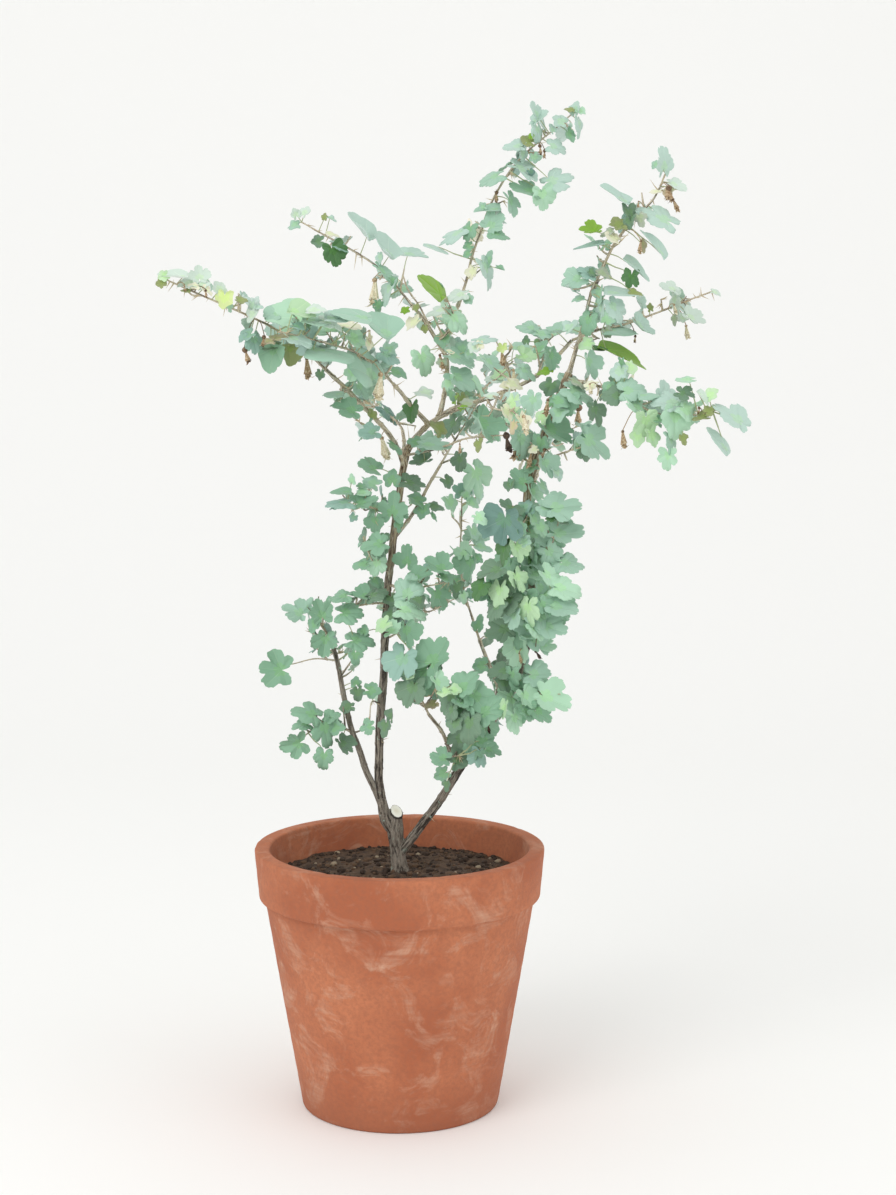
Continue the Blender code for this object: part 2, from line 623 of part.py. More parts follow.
def grow(swollen, stems, cutters):
    """Fills every leafy stem with sprigs, skipping each piece that would touch something, and joins them."""
    made = Obstacles()
    for obj in swollen.values():
        made.add(obj.data, "wood")
    for name, (_, stem) in stems.items():
        made.add(stem.data, name)
    for name, (path, stem) in stems.items():
        group = bpy.data.collections.new(name + " pieces")
        bpy.context.scene.collection.children.link(group)
        for sprig in growth(name, path, LIMBS[name]):
            for kind, *shape in sprig:
                taken = fits(kind, shape, name, made, group, cutters)
                if kind == "twig" and not taken:
                    break
        boolean(stem, "UNION", group=group, solver="MANIFOLD")
        keep_largest(stem)
        for piece in list(group.objects):
            remove(piece)
        bpy.data.collections.remove(group)


def fits(kind, shape, name, made, group, cutters):
    """Makes one piece and puts it in the group, unless it would touch something."""
    make = {"twig": twig_mesh, "leaf": leaf_mesh, "berry": berry_mesh}[kind]
    tested = mesh_object("tested", make(*shape, margin=2 * GAP), cutters)
    free_faces = STALK_FACES if kind == "leaf" else len(tested.data.polygons)
    taken = not made.touches(tested.data, name, free_faces)
    remove(tested)
    if taken:
        piece = mesh_object(kind, make(*shape), cutters)
        made.add(piece.data, name)
        move_to(piece, group)
    return taken


def main():
    for obj in list(bpy.data.objects):
        bpy.data.objects.remove(obj)
    parts = bpy.data.collections.new("potted canyon gooseberry")
    cutters = bpy.data.collections.new("cutters")
    cutters.hide_render = True
    for collection in (parts, cutters):
        bpy.context.scene.collection.children.link(collection)
    foot_inside, mouth_inside = make_pot(parts, cutters)
    make_soil(parts, foot_inside, mouth_inside)
    wood, swollen, stems = make_limbs(parts, cutters)
    grow(swollen, stems, cutters)
    for obj in wood.values():
        shade(obj)
        paint(obj, (0.27, 0.21, 0.17), 0.85)
    for _, obj in stems.values():
        paint(obj, (0.22, 0.41, 0.29), 0.6)
    for obj in list(cutters.objects):
        remove(obj)


main()
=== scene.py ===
# A canyon gooseberry in a plain clay pot: bark, twigs, spines, lobed leaves, dry flowers, soil and clay.
# Lengths are metres unless a name or a note says mm. -Y faces the viewer.
import math
import random

import bmesh
import bpy
import numpy as np
from mathutils import Matrix, Vector, kdtree, noise


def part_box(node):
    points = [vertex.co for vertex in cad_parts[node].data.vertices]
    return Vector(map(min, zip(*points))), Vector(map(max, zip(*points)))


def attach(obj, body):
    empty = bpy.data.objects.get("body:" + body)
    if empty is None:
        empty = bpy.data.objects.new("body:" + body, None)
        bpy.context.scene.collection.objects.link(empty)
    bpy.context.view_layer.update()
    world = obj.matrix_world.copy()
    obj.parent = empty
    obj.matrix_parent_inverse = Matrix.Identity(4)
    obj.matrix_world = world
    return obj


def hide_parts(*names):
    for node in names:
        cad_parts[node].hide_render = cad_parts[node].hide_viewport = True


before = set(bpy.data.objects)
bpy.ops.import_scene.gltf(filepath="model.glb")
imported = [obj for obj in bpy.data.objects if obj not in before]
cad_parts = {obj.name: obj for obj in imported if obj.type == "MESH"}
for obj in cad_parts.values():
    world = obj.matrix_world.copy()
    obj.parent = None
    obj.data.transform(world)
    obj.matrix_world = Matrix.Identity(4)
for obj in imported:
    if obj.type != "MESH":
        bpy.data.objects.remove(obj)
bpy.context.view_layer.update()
mm = 0.001
sky = Vector((0, 0, 1))
print("frame loaded:", len(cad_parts), "nodes")


# Shader maths

class Sock:  # one output of a material's nodes, so that shader maths reads as Python
    def __init__(self, finish, socket):
        self.finish = finish
        self.socket = socket

    def maths(self, operation, first, second=0.0):
        return self.finish.node("Math", {"operation": operation}, {0: first, 1: second})

    def __add__(self, other):
        return self.maths("ADD", self, other)

    def __sub__(self, other):
        return self.maths("SUBTRACT", self, other)

    def __rsub__(self, other):
        return self.maths("SUBTRACT", other, self)

    def __mul__(self, other):
        return self.maths("MULTIPLY", self, other)

    def __pow__(self, other):
        return self.maths("POWER", self, other)

    __radd__ = __add__
    __rmul__ = __mul__


class Finish:  # a Principled material, with its plain values set straight on the shader
    def __init__(self, name, colour, roughness, **plain):
        self.material = bpy.data.materials.new(name)
        self.material.use_nodes = True
        self.tree = self.material.node_tree
        self.shader = self.tree.nodes["Principled BSDF"]
        self.shader.inputs["Base Color"].default_value = (*colour, 1)
        self.shader.inputs["Roughness"].default_value = roughness
        for socket, value in plain.items():
            self.shader.inputs[socket.replace("_", " ")].default_value = value
        self.material.diffuse_color = (*colour, 1)

    def node(self, kind, settings=None, inputs=None, output=0):
        made = self.tree.nodes.new("ShaderNode" + kind)
        for key, value in (settings or {}).items():
            if key == "stops":
                self.setStops(made.color_ramp, value)
            else:
                setattr(made, key, value)
        for key, value in (inputs or {}).items():
            if isinstance(value, Sock):
                self.tree.links.new(value.socket, made.inputs[key])
            else:
                made.inputs[key].default_value = value
        return Sock(self, made.outputs[output])

    def setStops(self, ramp, stops):
        while len(ramp.elements) < len(stops):
            ramp.elements.new(1.0)
        for element, (place, shade) in zip(ramp.elements, stops):
            element.position = place
            element.color = (shade, shade, shade, 1)

    def place(self, stretch=(1, 1, 1)):
        where = self.node("TexCoord", output=3)
        return self.node("Mapping", inputs={"Vector": where, "Scale": stretch})

    def cloud(self, where, scale, detail=3.0, rough=0.55, twist=0.0):
        return self.node("TexNoise", inputs={
            "Vector": where, "Scale": scale, "Detail": detail, "Roughness": rough, "Distortion": twist})

    def steps(self, value, stops):
        return self.node("ValToRGB", {"stops": stops}, {"Fac": value})

    def mix(self, share, one, two):
        return self.node("Mix", {"data_type": "RGBA"}, {0: share, 6: one, 7: two}, output=2)

    def colour(self, value):
        self.tree.links.new(value.socket, self.shader.inputs["Base Color"])

    def rough(self, value):
        self.tree.links.new(value.socket, self.shader.inputs["Roughness"])

    def relief(self, height, depth, strength=1.0):
        bump = self.node("Bump", inputs={"Height": height, "Distance": depth, "Strength": strength})
        self.tree.links.new(bump.socket, self.shader.inputs["Normal"])


def paint(red, green, blue):  # a display colour, 0 to 255, as a linear one
    return tuple(((c / 255 + 0.055) / 1.055) ** 2.4 if c > 10 else c / 255 / 12.92 for c in (red, green, blue))


def solid(colour):
    return (*colour, 1)


# The limbs. Each leaves limb `on` at share `at` of its length and goes through the points `via`, in mm from
# the trunk's foot; thick is its radius at foot and tip, bare the share of it with no leaves

limbs = {}


def limb(name, on, at, via, thick, **foliage):
    usual = dict(bare=0, leaves=0, twigs=0, width=(26, 22), reach=20, front=0.9, berries=0)
    limbs[name] = dict(on=on, at=at, via=via, thick=thick) | usual | foliage


limb("main_stem", "trunk", 0.52,
     ((-17, -4, 70), (-18, -10, 128), (-14, -15, 197), (-5, -9, 318), (8, 0, 394)),
     (4.3, 3.3), bare=1)
limb("left_stem", "main_stem", 0.08, ((-33, 16, 97), (-49, 30, 144), (-63, 43, 206), (-88, 52, 241)),
     (3.4, 2.0), bare=0.80, leaves=3, twigs=3, reach=26)
limb("right_stem", "trunk", 0.28, ((28, -10, 56), (54, -22, 99), (80, -35, 143), (103, -45, 179)),
     (4.4, 3.7), bare=1)
limb("right_upper", "right_stem", 1, ((118, -53, 235), (121, -58, 303), (117, -62, 367), (151, -75, 465)),
     (3.6, 3.1), bare=1)
limb("right_bough", "main_stem", 1,
     ((33, 4, 421), (80, -20, 441), (126, -30, 462), (159, -30, 495), (207, -15, 508), (287, 20, 537)),
     (2.9, 1.1), bare=0.56, leaves=9, twigs=2, width=(28, 18), reach=18, front=0.5, berries=1)
limb("right_crown", "right_upper", 1,
     ((158, -82, 493), (174, -92, 547), (194, -100, 585), (225, -100, 618), (231, -98, 635)),
     (3.0, 1.2), leaves=13, twigs=4, width=(33, 28), reach=22, front=0.6, berries=2)
limb("far_left", "main_stem", 0.96,
     ((-11, -20, 412), (-53, -60, 458), (-100, -110, 501), (-188, -158, 543)),
     (2.7, 1.1), bare=0.43, leaves=11, twigs=2, width=(38, 17), reach=17, front=0.45)
limb("left_inner", "right_bough", 0.09, ((8, -30, 440), (-8, -70, 460), (-36, -127, 484), (-94, -180, 501)),
     (2.3, 1.1), bare=0.33, leaves=9, twigs=2, width=(40, 29), reach=18, front=0.5)
limb("upper_left", "right_bough", 0.125, ((44, 26, 458), (36, 36, 491), (-20, 55, 559), (-92, 80, 602)),
     (2.6, 1.1), bare=0.47, leaves=9, twigs=1, width=(34, 17), reach=16, front=0.5)
limb("top", "upper_left", 0.285, ((62, 70, 545), (73, 80, 588), (102, 92, 649), (161, 100, 703)),
     (2.4, 1.1), bare=0.20, leaves=13, twigs=3, width=(34, 20), reach=17, front=0.6, berries=1)
limb("far_right", "right_upper", 0.975, ((176, -100, 454), (228, -132, 430), (268, -148, 434)),
     (2.2, 1.1), bare=0.14, leaves=8, twigs=3, width=(30, 27), reach=22, front=0.55, berries=2)
limb("front", "right_bough", 0.235, ((81, -60, 444), (91, -110, 442), (110, -195, 425)),
     (2.0, 1.0), bare=0.34, leaves=6, twigs=2, width=(27, 21), reach=24, front=0.5)
limb("back", "right_bough", 0.147, ((50, 60, 429), (70, 130, 437), (111, 235, 470)),
     (2.2, 1.0), bare=0.30, leaves=6, twigs=2, width=(30, 23), reach=30, front=0.15)
limb("back_left", "main_stem", 0.93, ((4, 40, 404), (-10, 100, 420), (-49, 210, 435)),
     (2.2, 1.0), bare=0.28, leaves=6, twigs=2, width=(30, 23), reach=30, front=0.15)
limb("back_right", "right_upper", 0.645, ((126, 0, 369), (136, 60, 388), (168, 165, 432)),
     (2.2, 1.0), bare=0.28, leaves=6, twigs=2, width=(30, 23), reach=30, front=0.15)
# Inner boughs
limb("inner", "main_stem", 0.775, ((12, 6, 333), (44, 35, 388), (76, 70, 439)),
     (2.2, 1.0), bare=0.52, leaves=5, twigs=1, width=(25, 22), front=0.6)
limb("middle", "right_stem", 0.93, ((81, -5, 201), (68, 20, 234), (57, 45, 280), (58, 65, 344)),
     (2.3, 1.0), bare=0.34, leaves=7, twigs=2, width=(28, 24), reach=22, front=0.85)
limb("low_middle", "right_stem", 0.53, ((37, -45, 144), (23, -58, 168), (10, -73, 222)),
     (2.3, 1.1), bare=0.50, leaves=5, twigs=3, width=(34, 28), reach=26)
# Leafy shoots of the main stem
limb("main_foot_shoot", "main_stem", 0.36, ((-24, -32, 166), (-26, -46, 150)),
     (1.3, 0.8), leaves=3, width=(21, 19))
limb("main_low_left", "main_stem", 0.616, ((-29, -20, 254), (-50, -27, 249)),
     (1.5, 0.9), leaves=3, width=(24, 22))
limb("main_middle_left", "main_stem", 0.692, ((-23, -30, 294), (-31, -43, 318)),
     (1.5, 0.9), leaves=3, twigs=1, width=(24, 20), reach=16)
limb("main_high_left", "main_stem", 0.833, ((-34, -20, 345), (-46, -35, 346)),
     (1.6, 0.9), leaves=4, twigs=2, width=(25, 22), reach=20)
limb("main_middle_right", "main_stem", 0.66, ((14, -35, 271), (47, -62, 280)),
     (1.7, 0.9), leaves=5, twigs=3, width=(29, 25), reach=25)
limb("low_back", "main_stem", 0.52, ((2, 30, 243), (24, 85, 233), (50, 160, 236)),
     (2.0, 0.9), leaves=5, twigs=3, width=(29, 23), reach=28, front=0.1)
# Leafy shoots of the left stem
limb("left_low", "left_stem", 0.385, ((-66, 20, 139), (-92, 10, 124)),
     (1.7, 0.9), leaves=4, twigs=3, reach=23)
limb("left_lone", "left_stem", 0.72, ((-86, 50, 193), (-101, 45, 189)),
     (1.2, 0.8), width=(34, 34), front=1)
limb("left_back", "left_stem", 0.60, ((-62, 70, 190), (-70, 115, 200)),
     (1.6, 0.9), leaves=4, twigs=2, width=(25, 21), reach=24, front=0.1)
# Leafy shoots of the right stem, from the bottom up
limb("right_low", "right_stem", 0.619, ((60, -48, 120), (44, -68, 122)), (1.6, 0.9), leaves=4, twigs=2)
limb("bend_inner", "right_stem", 0.834, ((66, -70, 170), (45, -92, 190)),
     (1.8, 0.9), leaves=5, twigs=3, width=(32, 27), reach=26)
limb("bend_back", "right_stem", 0.775, ((88, 10, 160), (97, 55, 186), (112, 120, 222)),
     (2.0, 0.9), leaves=5, twigs=3, width=(29, 24), reach=28, front=0.1)
limb("bend_outer", "right_upper", 0.03, ((125, -70, 182), (144, -92, 183)),
     (1.7, 0.9), leaves=4, twigs=2, width=(29, 26), reach=17)
limb("lower_outer", "right_upper", 0.161, ((130, -80, 243), (138, -96, 268)),
     (1.7, 0.9), leaves=5, twigs=2, width=(29, 26))
limb("lower_inner", "right_upper", 0.288, ((112, -84, 262), (97, -100, 262), (82, -106, 278)),
     (1.7, 0.9), leaves=6, twigs=2, width=(29, 26))
limb("middle_outer", "right_upper", 0.431, ((136, -85, 314), (142, -96, 338)),
     (1.7, 0.9), leaves=5, twigs=2, width=(28, 25))
limb("middle_inner", "right_upper", 0.576, ((110, -88, 334), (96, -108, 328), (88, -112, 340)),
     (1.7, 0.9), leaves=5, twigs=2, width=(31, 26))
limb("high_outer", "right_upper", 0.708, ((143, -85, 395), (162, -100, 402)),
     (1.7, 0.9), leaves=4, twigs=2, width=(31, 26), front=0.8, berries=1)
# Leafy shoots of the crown's middle
limb("centre_low", "right_bough", 0.277, ((96, -50, 419), (120, -72, 402)),
     (1.6, 0.9), leaves=4, twigs=2, width=(25, 21), front=0.7, berries=2)
limb("centre_high", "right_bough", 0.355, ((98, -15, 471), (88, -30, 492)),
     (1.6, 0.9), leaves=4, twigs=2, width=(25, 21), front=0.6, berries=1)
limb("centre_right", "right_bough", 0.43, ((132, 0, 484), (128, 22, 506)),
     (1.6, 0.9), leaves=4, twigs=2, width=(24, 20), front=0.5)
limb("centre_front", "main_stem", 0.985, ((35, -30, 396), (64, -70, 408), (92, -130, 413)),
     (1.9, 0.9), leaves=5, twigs=2, width=(27, 22), front=0.7)
limb("upper_middle", "upper_left", 0.31, ((50, 10, 508), (44, -8, 530)),
     (1.6, 0.9), leaves=4, twigs=2, width=(29, 25), front=0.7)
limb("upper_back", "upper_left", 0.36, ((20, 75, 520), (0, 130, 548)),
     (1.8, 0.9), leaves=5, twigs=2, width=(28, 22), reach=25, front=0.2)
limb("far_left_low", "far_left", 0.354, ((-50, -68, 438), (-30, -78, 420)),
     (1.5, 0.9), leaves=4, twigs=1, width=(27, 24), front=0.8, berries=1)


# Lines that the wood follows

woodSizes = dict(
    boughStep=20 * mm, stemStep=25 * mm, kink=0.8 * mm, footSwell=0.22, footSwellLength=9 * mm,
    groundHeight=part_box("trunk")[0].z,
    trunkVia=((-2, 0, 20), (-4, -1, 38), (-3, -2, 59)),
    trunkRadii=((0.0, 9.0), (0.14, 7.5), (0.45, 7.2), (0.66, 8.0), (0.86, 6.4), (1.0, 5.7)),
    stubCutFacing=(0.32, -0.61, 0.72),
)


def aboveSoil(point):
    return Vector(point) * mm + sky * woodSizes["groundHeight"]


def throughPoints(through, parts):  # a finer line that bends smoothly through a few points
    ends = [2 * through[0] - through[1], *through, 2 * through[-1] - through[-2]]
    fine = []
    for before, here, there, after in zip(ends, ends[1:], ends[2:], ends[3:]):
        for part in range(parts):
            t = part / parts
            bend = 2 * before - 5 * here + 4 * there - after
            twist = 3 * here - before - 3 * there + after
            fine.append(0.5 * (2 * here + (there - before) * t + bend * t * t + twist * t**3))
    fine.append(through[-1].copy())
    return fine


class Path:  # a smooth line of even steps, and its radius from end to end
    def __init__(self, name, through, radii, step, start=0.0, end=1.0, kink=woodSizes["kink"]):
        draw = random.Random(name)
        fine = throughPoints(through, 16)
        lengths = [0.0]
        for one, two in zip(fine, fine[1:]):
            lengths.append(lengths[-1] + (two - one).length)
        self.length = lengths[-1] * (end - start)
        count = max(2, round(self.length / step) + 1)
        self.points = []
        for index in range(count):
            wanted = lengths[-1] * (start + (end - start) * index / (count - 1))
            after = next(n for n, length in enumerate(lengths[1:], 1) if length >= wanted - 1e-9)
            share = (wanted - lengths[after - 1]) / (lengths[after] - lengths[after - 1])
            self.points.append(fine[after - 1].lerp(fine[after], share))
        for index in range(1, count - 1):
            aside = Vector((draw.uniform(-1, 1), draw.uniform(-1, 1), draw.uniform(-0.3, 0.3)))
            self.points[index] += kink * aside
        foot, tip = radii
        self.radii = []
        for index in range(count):
            share = start + (end - start) * index / (count - 1)
            swell = woodSizes["footSwell"] * math.exp(-share * lengths[-1] / woodSizes["footSwellLength"])
            self.radii.append((foot + (tip - foot) * share) * (1 + swell))

    def at(self, share):
        along = min(max(share, 0.0), 1.0) * (len(self.points) - 1)
        index = min(int(along), len(self.points) - 2)
        one, two = self.points[index], self.points[index + 1]
        return one.lerp(two, along - index), (two - one).normalized()


def alongTable(table, share):
    for (one, first), (two, second) in zip(table, table[1:]):
        if share <= two:
            return first + (second - first) * (share - one) / (two - one)
    return table[-1][1]


def trunkLine():
    foot = aboveSoil((0, 0, 0))
    via = [aboveSoil(point) for point in woodSizes["trunkVia"]]
    path = Path("trunk", [aboveSoil((0.6, 0, -12)), foot, *via], (1, 1), 6 * mm, kink=0)
    path.radii = []
    for point in path.points:
        share = min(max((point.z - foot.z) / (via[-1].z - foot.z), 0), 1)
        path.radii.append(mm * alongTable(woodSizes["trunkRadii"], share))
    return path


def layOutLimbs():
    trunk = trunkLine()
    above = [n for n, point in enumerate(trunk.points) if point.z > aboveSoil((0, 0, -1)).z]
    parent = Path("trunk", [trunk.points[0], trunk.points[1]], (1, 1), 1)
    parent.points = [trunk.points[n] for n in above]
    whole, wood, stems = {"trunk": parent}, {"trunk": trunk}, {}
    for name, spec in limbs.items():
        foot, _ = whole[spec["on"]].at(spec["at"])
        through = [foot, *map(aboveSoil, spec["via"])]
        radii = [radius * mm for radius in spec["thick"]]
        whole[name] = Path(name, through, radii, woodSizes["boughStep"] / 2, kink=0)
        bare = spec["bare"]
        if bare > 0:
            wood[name] = Path(name, through, radii, woodSizes["boughStep"], 0.0, bare)
        if bare < 1:
            stems[name] = Path(name + " stem", through, radii, woodSizes["stemStep"], bare, 1.0)
    return wood, stems


# Meshes from arrays

class Heap:  # collects the points and faces of many small pieces, to make one mesh
    def __init__(self):
        self.points = []
        self.grain = []  # where each point lies on its limb, laid straight
        self.faces = []
        self.slots = []
        self.count = 0

    def add(self, points, faces, slot=0, grain=None):
        self.points.append(np.asarray(points, float))
        self.grain.append(np.asarray(grain if grain is not None else points, float))
        base = self.count
        self.faces.extend([tuple(n + base for n in face) for face in faces])
        self.slots.extend([slot] * len(faces) if isinstance(slot, int) else slot)
        self.count += len(points)

    def triangles(self):
        return sum(len(face) - 2 for face in self.faces)

    def build(self, name, finishes, sharp=50.0):
        mesh = bpy.data.meshes.new(name)
        mesh.from_pydata(np.concatenate(self.points).tolist(), [], self.faces)
        mesh.polygons.foreach_set("material_index", np.array(self.slots, np.int32))
        for finish in finishes:
            mesh.materials.append(finish.material)
        mesh.shade_smooth()
        mesh.set_sharp_from_angle(angle=math.radians(sharp))
        mesh.update()
        storeGrain(mesh, np.concatenate(self.grain))
        made = bpy.data.objects.new(name, mesh)
        bpy.context.scene.collection.objects.link(made)
        print(f"  {name}: {self.triangles()} triangles")
        return made


def storeGrain(mesh, places):
    mesh.attributes.new("grain", "FLOAT_VECTOR", "POINT").data.foreach_set(
        "vector", np.asarray(places, np.float32).ravel())


def carriedFrames(line):  # a pair of directions across a line at each point, with no sudden turn
    frames = []
    across = None
    for index in range(len(line)):
        forward = (line[min(index + 1, len(line) - 1)] - line[max(index - 1, 0)]).normalized()
        if across is None:
            across = forward.orthogonal().normalized()
        across = (across - forward * across.dot(forward)).normalized()
        frames.append((across, forward.cross(across), forward))
    return frames


def tube(line, radii, sides, lift=None, withGrain=False):
    # A closed tube. lift gives how far the surface stands out at a length and an angle
    points, faces, grain = [], [], []
    along = 0.0
    frames = carriedFrames(line)
    for ring, (centre, radius, (one, two, _)) in enumerate(zip(line, radii, frames)):
        if ring:
            along += (centre - line[ring - 1]).length
        for side in range(sides):
            angle = math.tau * side / sides
            high = radius + (lift(along, angle, radius) if lift else 0)
            points.append(centre + (one * math.cos(angle) + two * math.sin(angle)) * high)
            grain.append(Vector((math.cos(angle) * radius, math.sin(angle) * radius, along)))
    rings = len(line)
    for ring in range(rings - 1):
        for side in range(sides):
            after = (side + 1) % sides
            faces.append((ring * sides + side, ring * sides + after,
                          (ring + 1) * sides + after, (ring + 1) * sides + side))
    faces.append(tuple(reversed(range(sides))))
    faces.append(tuple(range((rings - 1) * sides, rings * sides)))
    return (points, faces, grain) if withGrain else (points, faces)


def resampled(path, step):  # the path's own line and radii, at finer and even steps
    parts = max(1, round(path.length / (len(path.points) - 1) / step))
    fine = throughPoints(path.points, parts)
    radii = []
    for index in range(len(fine)):
        place = index / parts
        low = min(int(place), len(path.radii) - 2)
        radii.append(path.radii[low] + (path.radii[low + 1] - path.radii[low]) * (place - low))
    return fine, radii


# Bark

barkLook = dict(
    voxel=0.7 * mm, fissure=0.75 * mm, fissureWidth=1.5, lumps=0.22 * mm, thinLumps=0.10,
    nodeEvery=24 * mm, nodeSwell=0.09, thinNodeSwell=0.28, collar=11 * mm, slender=0.86, slenderShoot=0.62,
    # the ridge colour is pale outer bark and also a painted highlight on the raised ridges of the bump
    grey=paint(134, 126, 114), brown=paint(94, 84, 73), dark=paint(34, 27, 22), paleRidgeAndHighlight=paint(176, 168, 154),
    tan=paint(180, 163, 134), red=paint(110, 88, 68), pale=paint(222, 217, 198),
    shade=dict(main_stem=1.0, right_stem=1.0),  # how dark the streaks low on a stem are
    stout=dict(right_upper=1.18),
    lichen=paint(172, 200, 184), cut=paint(246, 246, 234), heart=paint(222, 214, 188),
    # Old callus where the stems part, in mm from the trunk's foot with its radius, and a patch of lichen
    callus=((-16.5, -5, 69, 4.2), (-15, -4, 60, 5.4), (-12.5, -3, 50, 6.0), (-8, -2, 41, 5.2)),
    lichenPatch=(5.0, -8, 21),
)


def barkFinish(name, cracks, young=0.0, mealy=0.0, patch=None):
    # Old bark is grey with dark fissures, young bark tan with reddish and pale strips. Old turns to young upwards. The
    # pale strips sit where the bump stands up, so they are partly pale outer bark and partly a painted highlight on the
    # raised ridges
    finish = Finish(name, barkLook["grey"], 0.86)
    grain = finish.node("Attribute", {"attribute_name": "grain"}, output=1)
    along = finish.node("Mapping", inputs={"Vector": grain, "Scale": (1, 1, 0.11)})
    strips = finish.cloud(along, 900, 3, 0.6, 0.25)
    streaks = finish.cloud(along, 480, 3, 0.62, 0.4)
    fine = finish.cloud(finish.node("Mapping", inputs={"Vector": grain, "Scale": (1, 1, 0.4)}), 2600, 2, 0.6)
    patches = finish.cloud(grain, 70, 3, 0.6)
    # pale where the relief stands up: pale outer bark, and a painted highlight on the raised ridges
    paleRidgeAndHighlight = finish.steps(strips, ((0.52, 0), (0.62, 1)))
    flecks = finish.steps(fine, ((0.49, 0), (0.57, 0.85)))
    old = finish.mix(finish.steps(streaks, ((0.40, 0), (0.60, 1))), solid(barkLook["brown"]), solid(barkLook["grey"]))
    fresh = finish.mix(finish.steps(streaks, ((0.42, 0), (0.56, 1))), solid(barkLook["red"]), solid(barkLook["tan"]))
    either = finish.node("Math", {"operation": "MAXIMUM"}, {0: paleRidgeAndHighlight * 0.65, 1: flecks * 0.45})
    old = finish.mix(either, old, solid(barkLook["paleRidgeAndHighlight"]))
    either = finish.node("Math", {"operation": "MAXIMUM"}, {0: paleRidgeAndHighlight * 0.8, 1: flecks * mealy})
    fresh = finish.mix(either, fresh, solid(barkLook["pale"]))
    height = finish.node("SeparateXYZ", inputs={0: finish.node("TexCoord", output=3)}, output=2)
    up = finish.steps(height * 3.2 - 1.35 + patches * 0.5 + young, ((0.30, 0), (0.75, 1)))
    body = finish.mix(up, old, fresh)
    deep = finish.node("Attribute", {"attribute_name": "fissure"}, output=2)
    shade = finish.node("Attribute", {"attribute_name": "shade"}, output=2)
    crack = finish.steps(streaks - shade * 0.07, ((0.37, 1), (0.45, 0)))
    crack = crack * cracks * (1 - up * 0.4)
    both = finish.node("Math", {"operation": "MAXIMUM"}, {0: crack, 1: deep * 0.95})
    body = finish.mix(both, body, solid(barkLook["dark"]))
    spots = finish.steps(finish.cloud(grain, 150, 2, 0.5, 0.8), ((0.66, 0), (0.74, 0.7)))
    if patch:
        where = finish.node("TexCoord", output=3)
        away = finish.node("VectorMath", {"operation": "DISTANCE"}, {0: where, 1: patch}, output=1)
        near = finish.steps(away * 125 + fine * 1.1, ((0.55, 0.9), (0.95, 0)))
        spots = finish.node("Math", {"operation": "MAXIMUM"}, {0: spots, 1: near})
    finish.colour(finish.mix(spots, body, solid(barkLook["lichen"])))
    finish.relief(strips * 0.8 + fine * 0.35, 0.5 * mm, 0.8)
    return finish


def cutWoodFinish(centre):  # pale wood with growth rings round the pith
    finish = Finish("cutWood", barkLook["cut"], 0.8)
    where = finish.node("TexCoord", output=3)
    away = finish.node("VectorMath", {"operation": "DISTANCE"}, {0: where, 1: centre}, output=1)
    rings = finish.node("Math", {"operation": "SINE"}, {0: away * 5200 + finish.cloud(where, 300) * 5})
    inner = finish.steps(away * 180, ((0.1, 1), (0.7, 0)))
    wood = finish.mix(inner * 0.6, solid(barkLook["cut"]), solid(barkLook["heart"]))
    wood = finish.mix((rings * 0.5 + 0.5) * 0.30, wood, solid(barkLook["heart"]))
    rim = finish.node("Attribute", {"attribute_name": "fissure"}, output=2)
    finish.colour(finish.mix(rim, wood, solid(barkLook["dark"])))
    return finish


def fissureAt(grain):
    # 0 on the ridges of the bark, 1 in its long dark fissures
    across = noise.noise(Vector((grain.x, grain.y, grain.z * 0.10)) * 520)
    finer = noise.noise(Vector((grain.x, grain.y, grain.z * 0.16)) * 1150 + Vector((9, 3, 5)))
    line = 1 - min(abs(across + finer * 0.35) * 3.6, 1)
    gaps = noise.noise(Vector((grain.x * 2, grain.y * 2, grain.z)) * 110 + Vector((2, 7, 1)))
    return line ** barkLook["fissureWidth"] * min(max(0.65 + gaps * 1.6, 0), 1)


def nodeBump(along, width, swell, radius):
    near = (along / barkLook["nodeEvery"] + 0.5) % 1 - 0.5
    return math.exp(-(near * barkLook["nodeEvery"] / width) ** 2) * swell * radius


def stubPlane(trunk):
    high, low = trunk.points[-1], trunk.points[0]
    return high - (high - low).normalized() * mm, Vector(woodSizes["stubCutFacing"]).normalized()


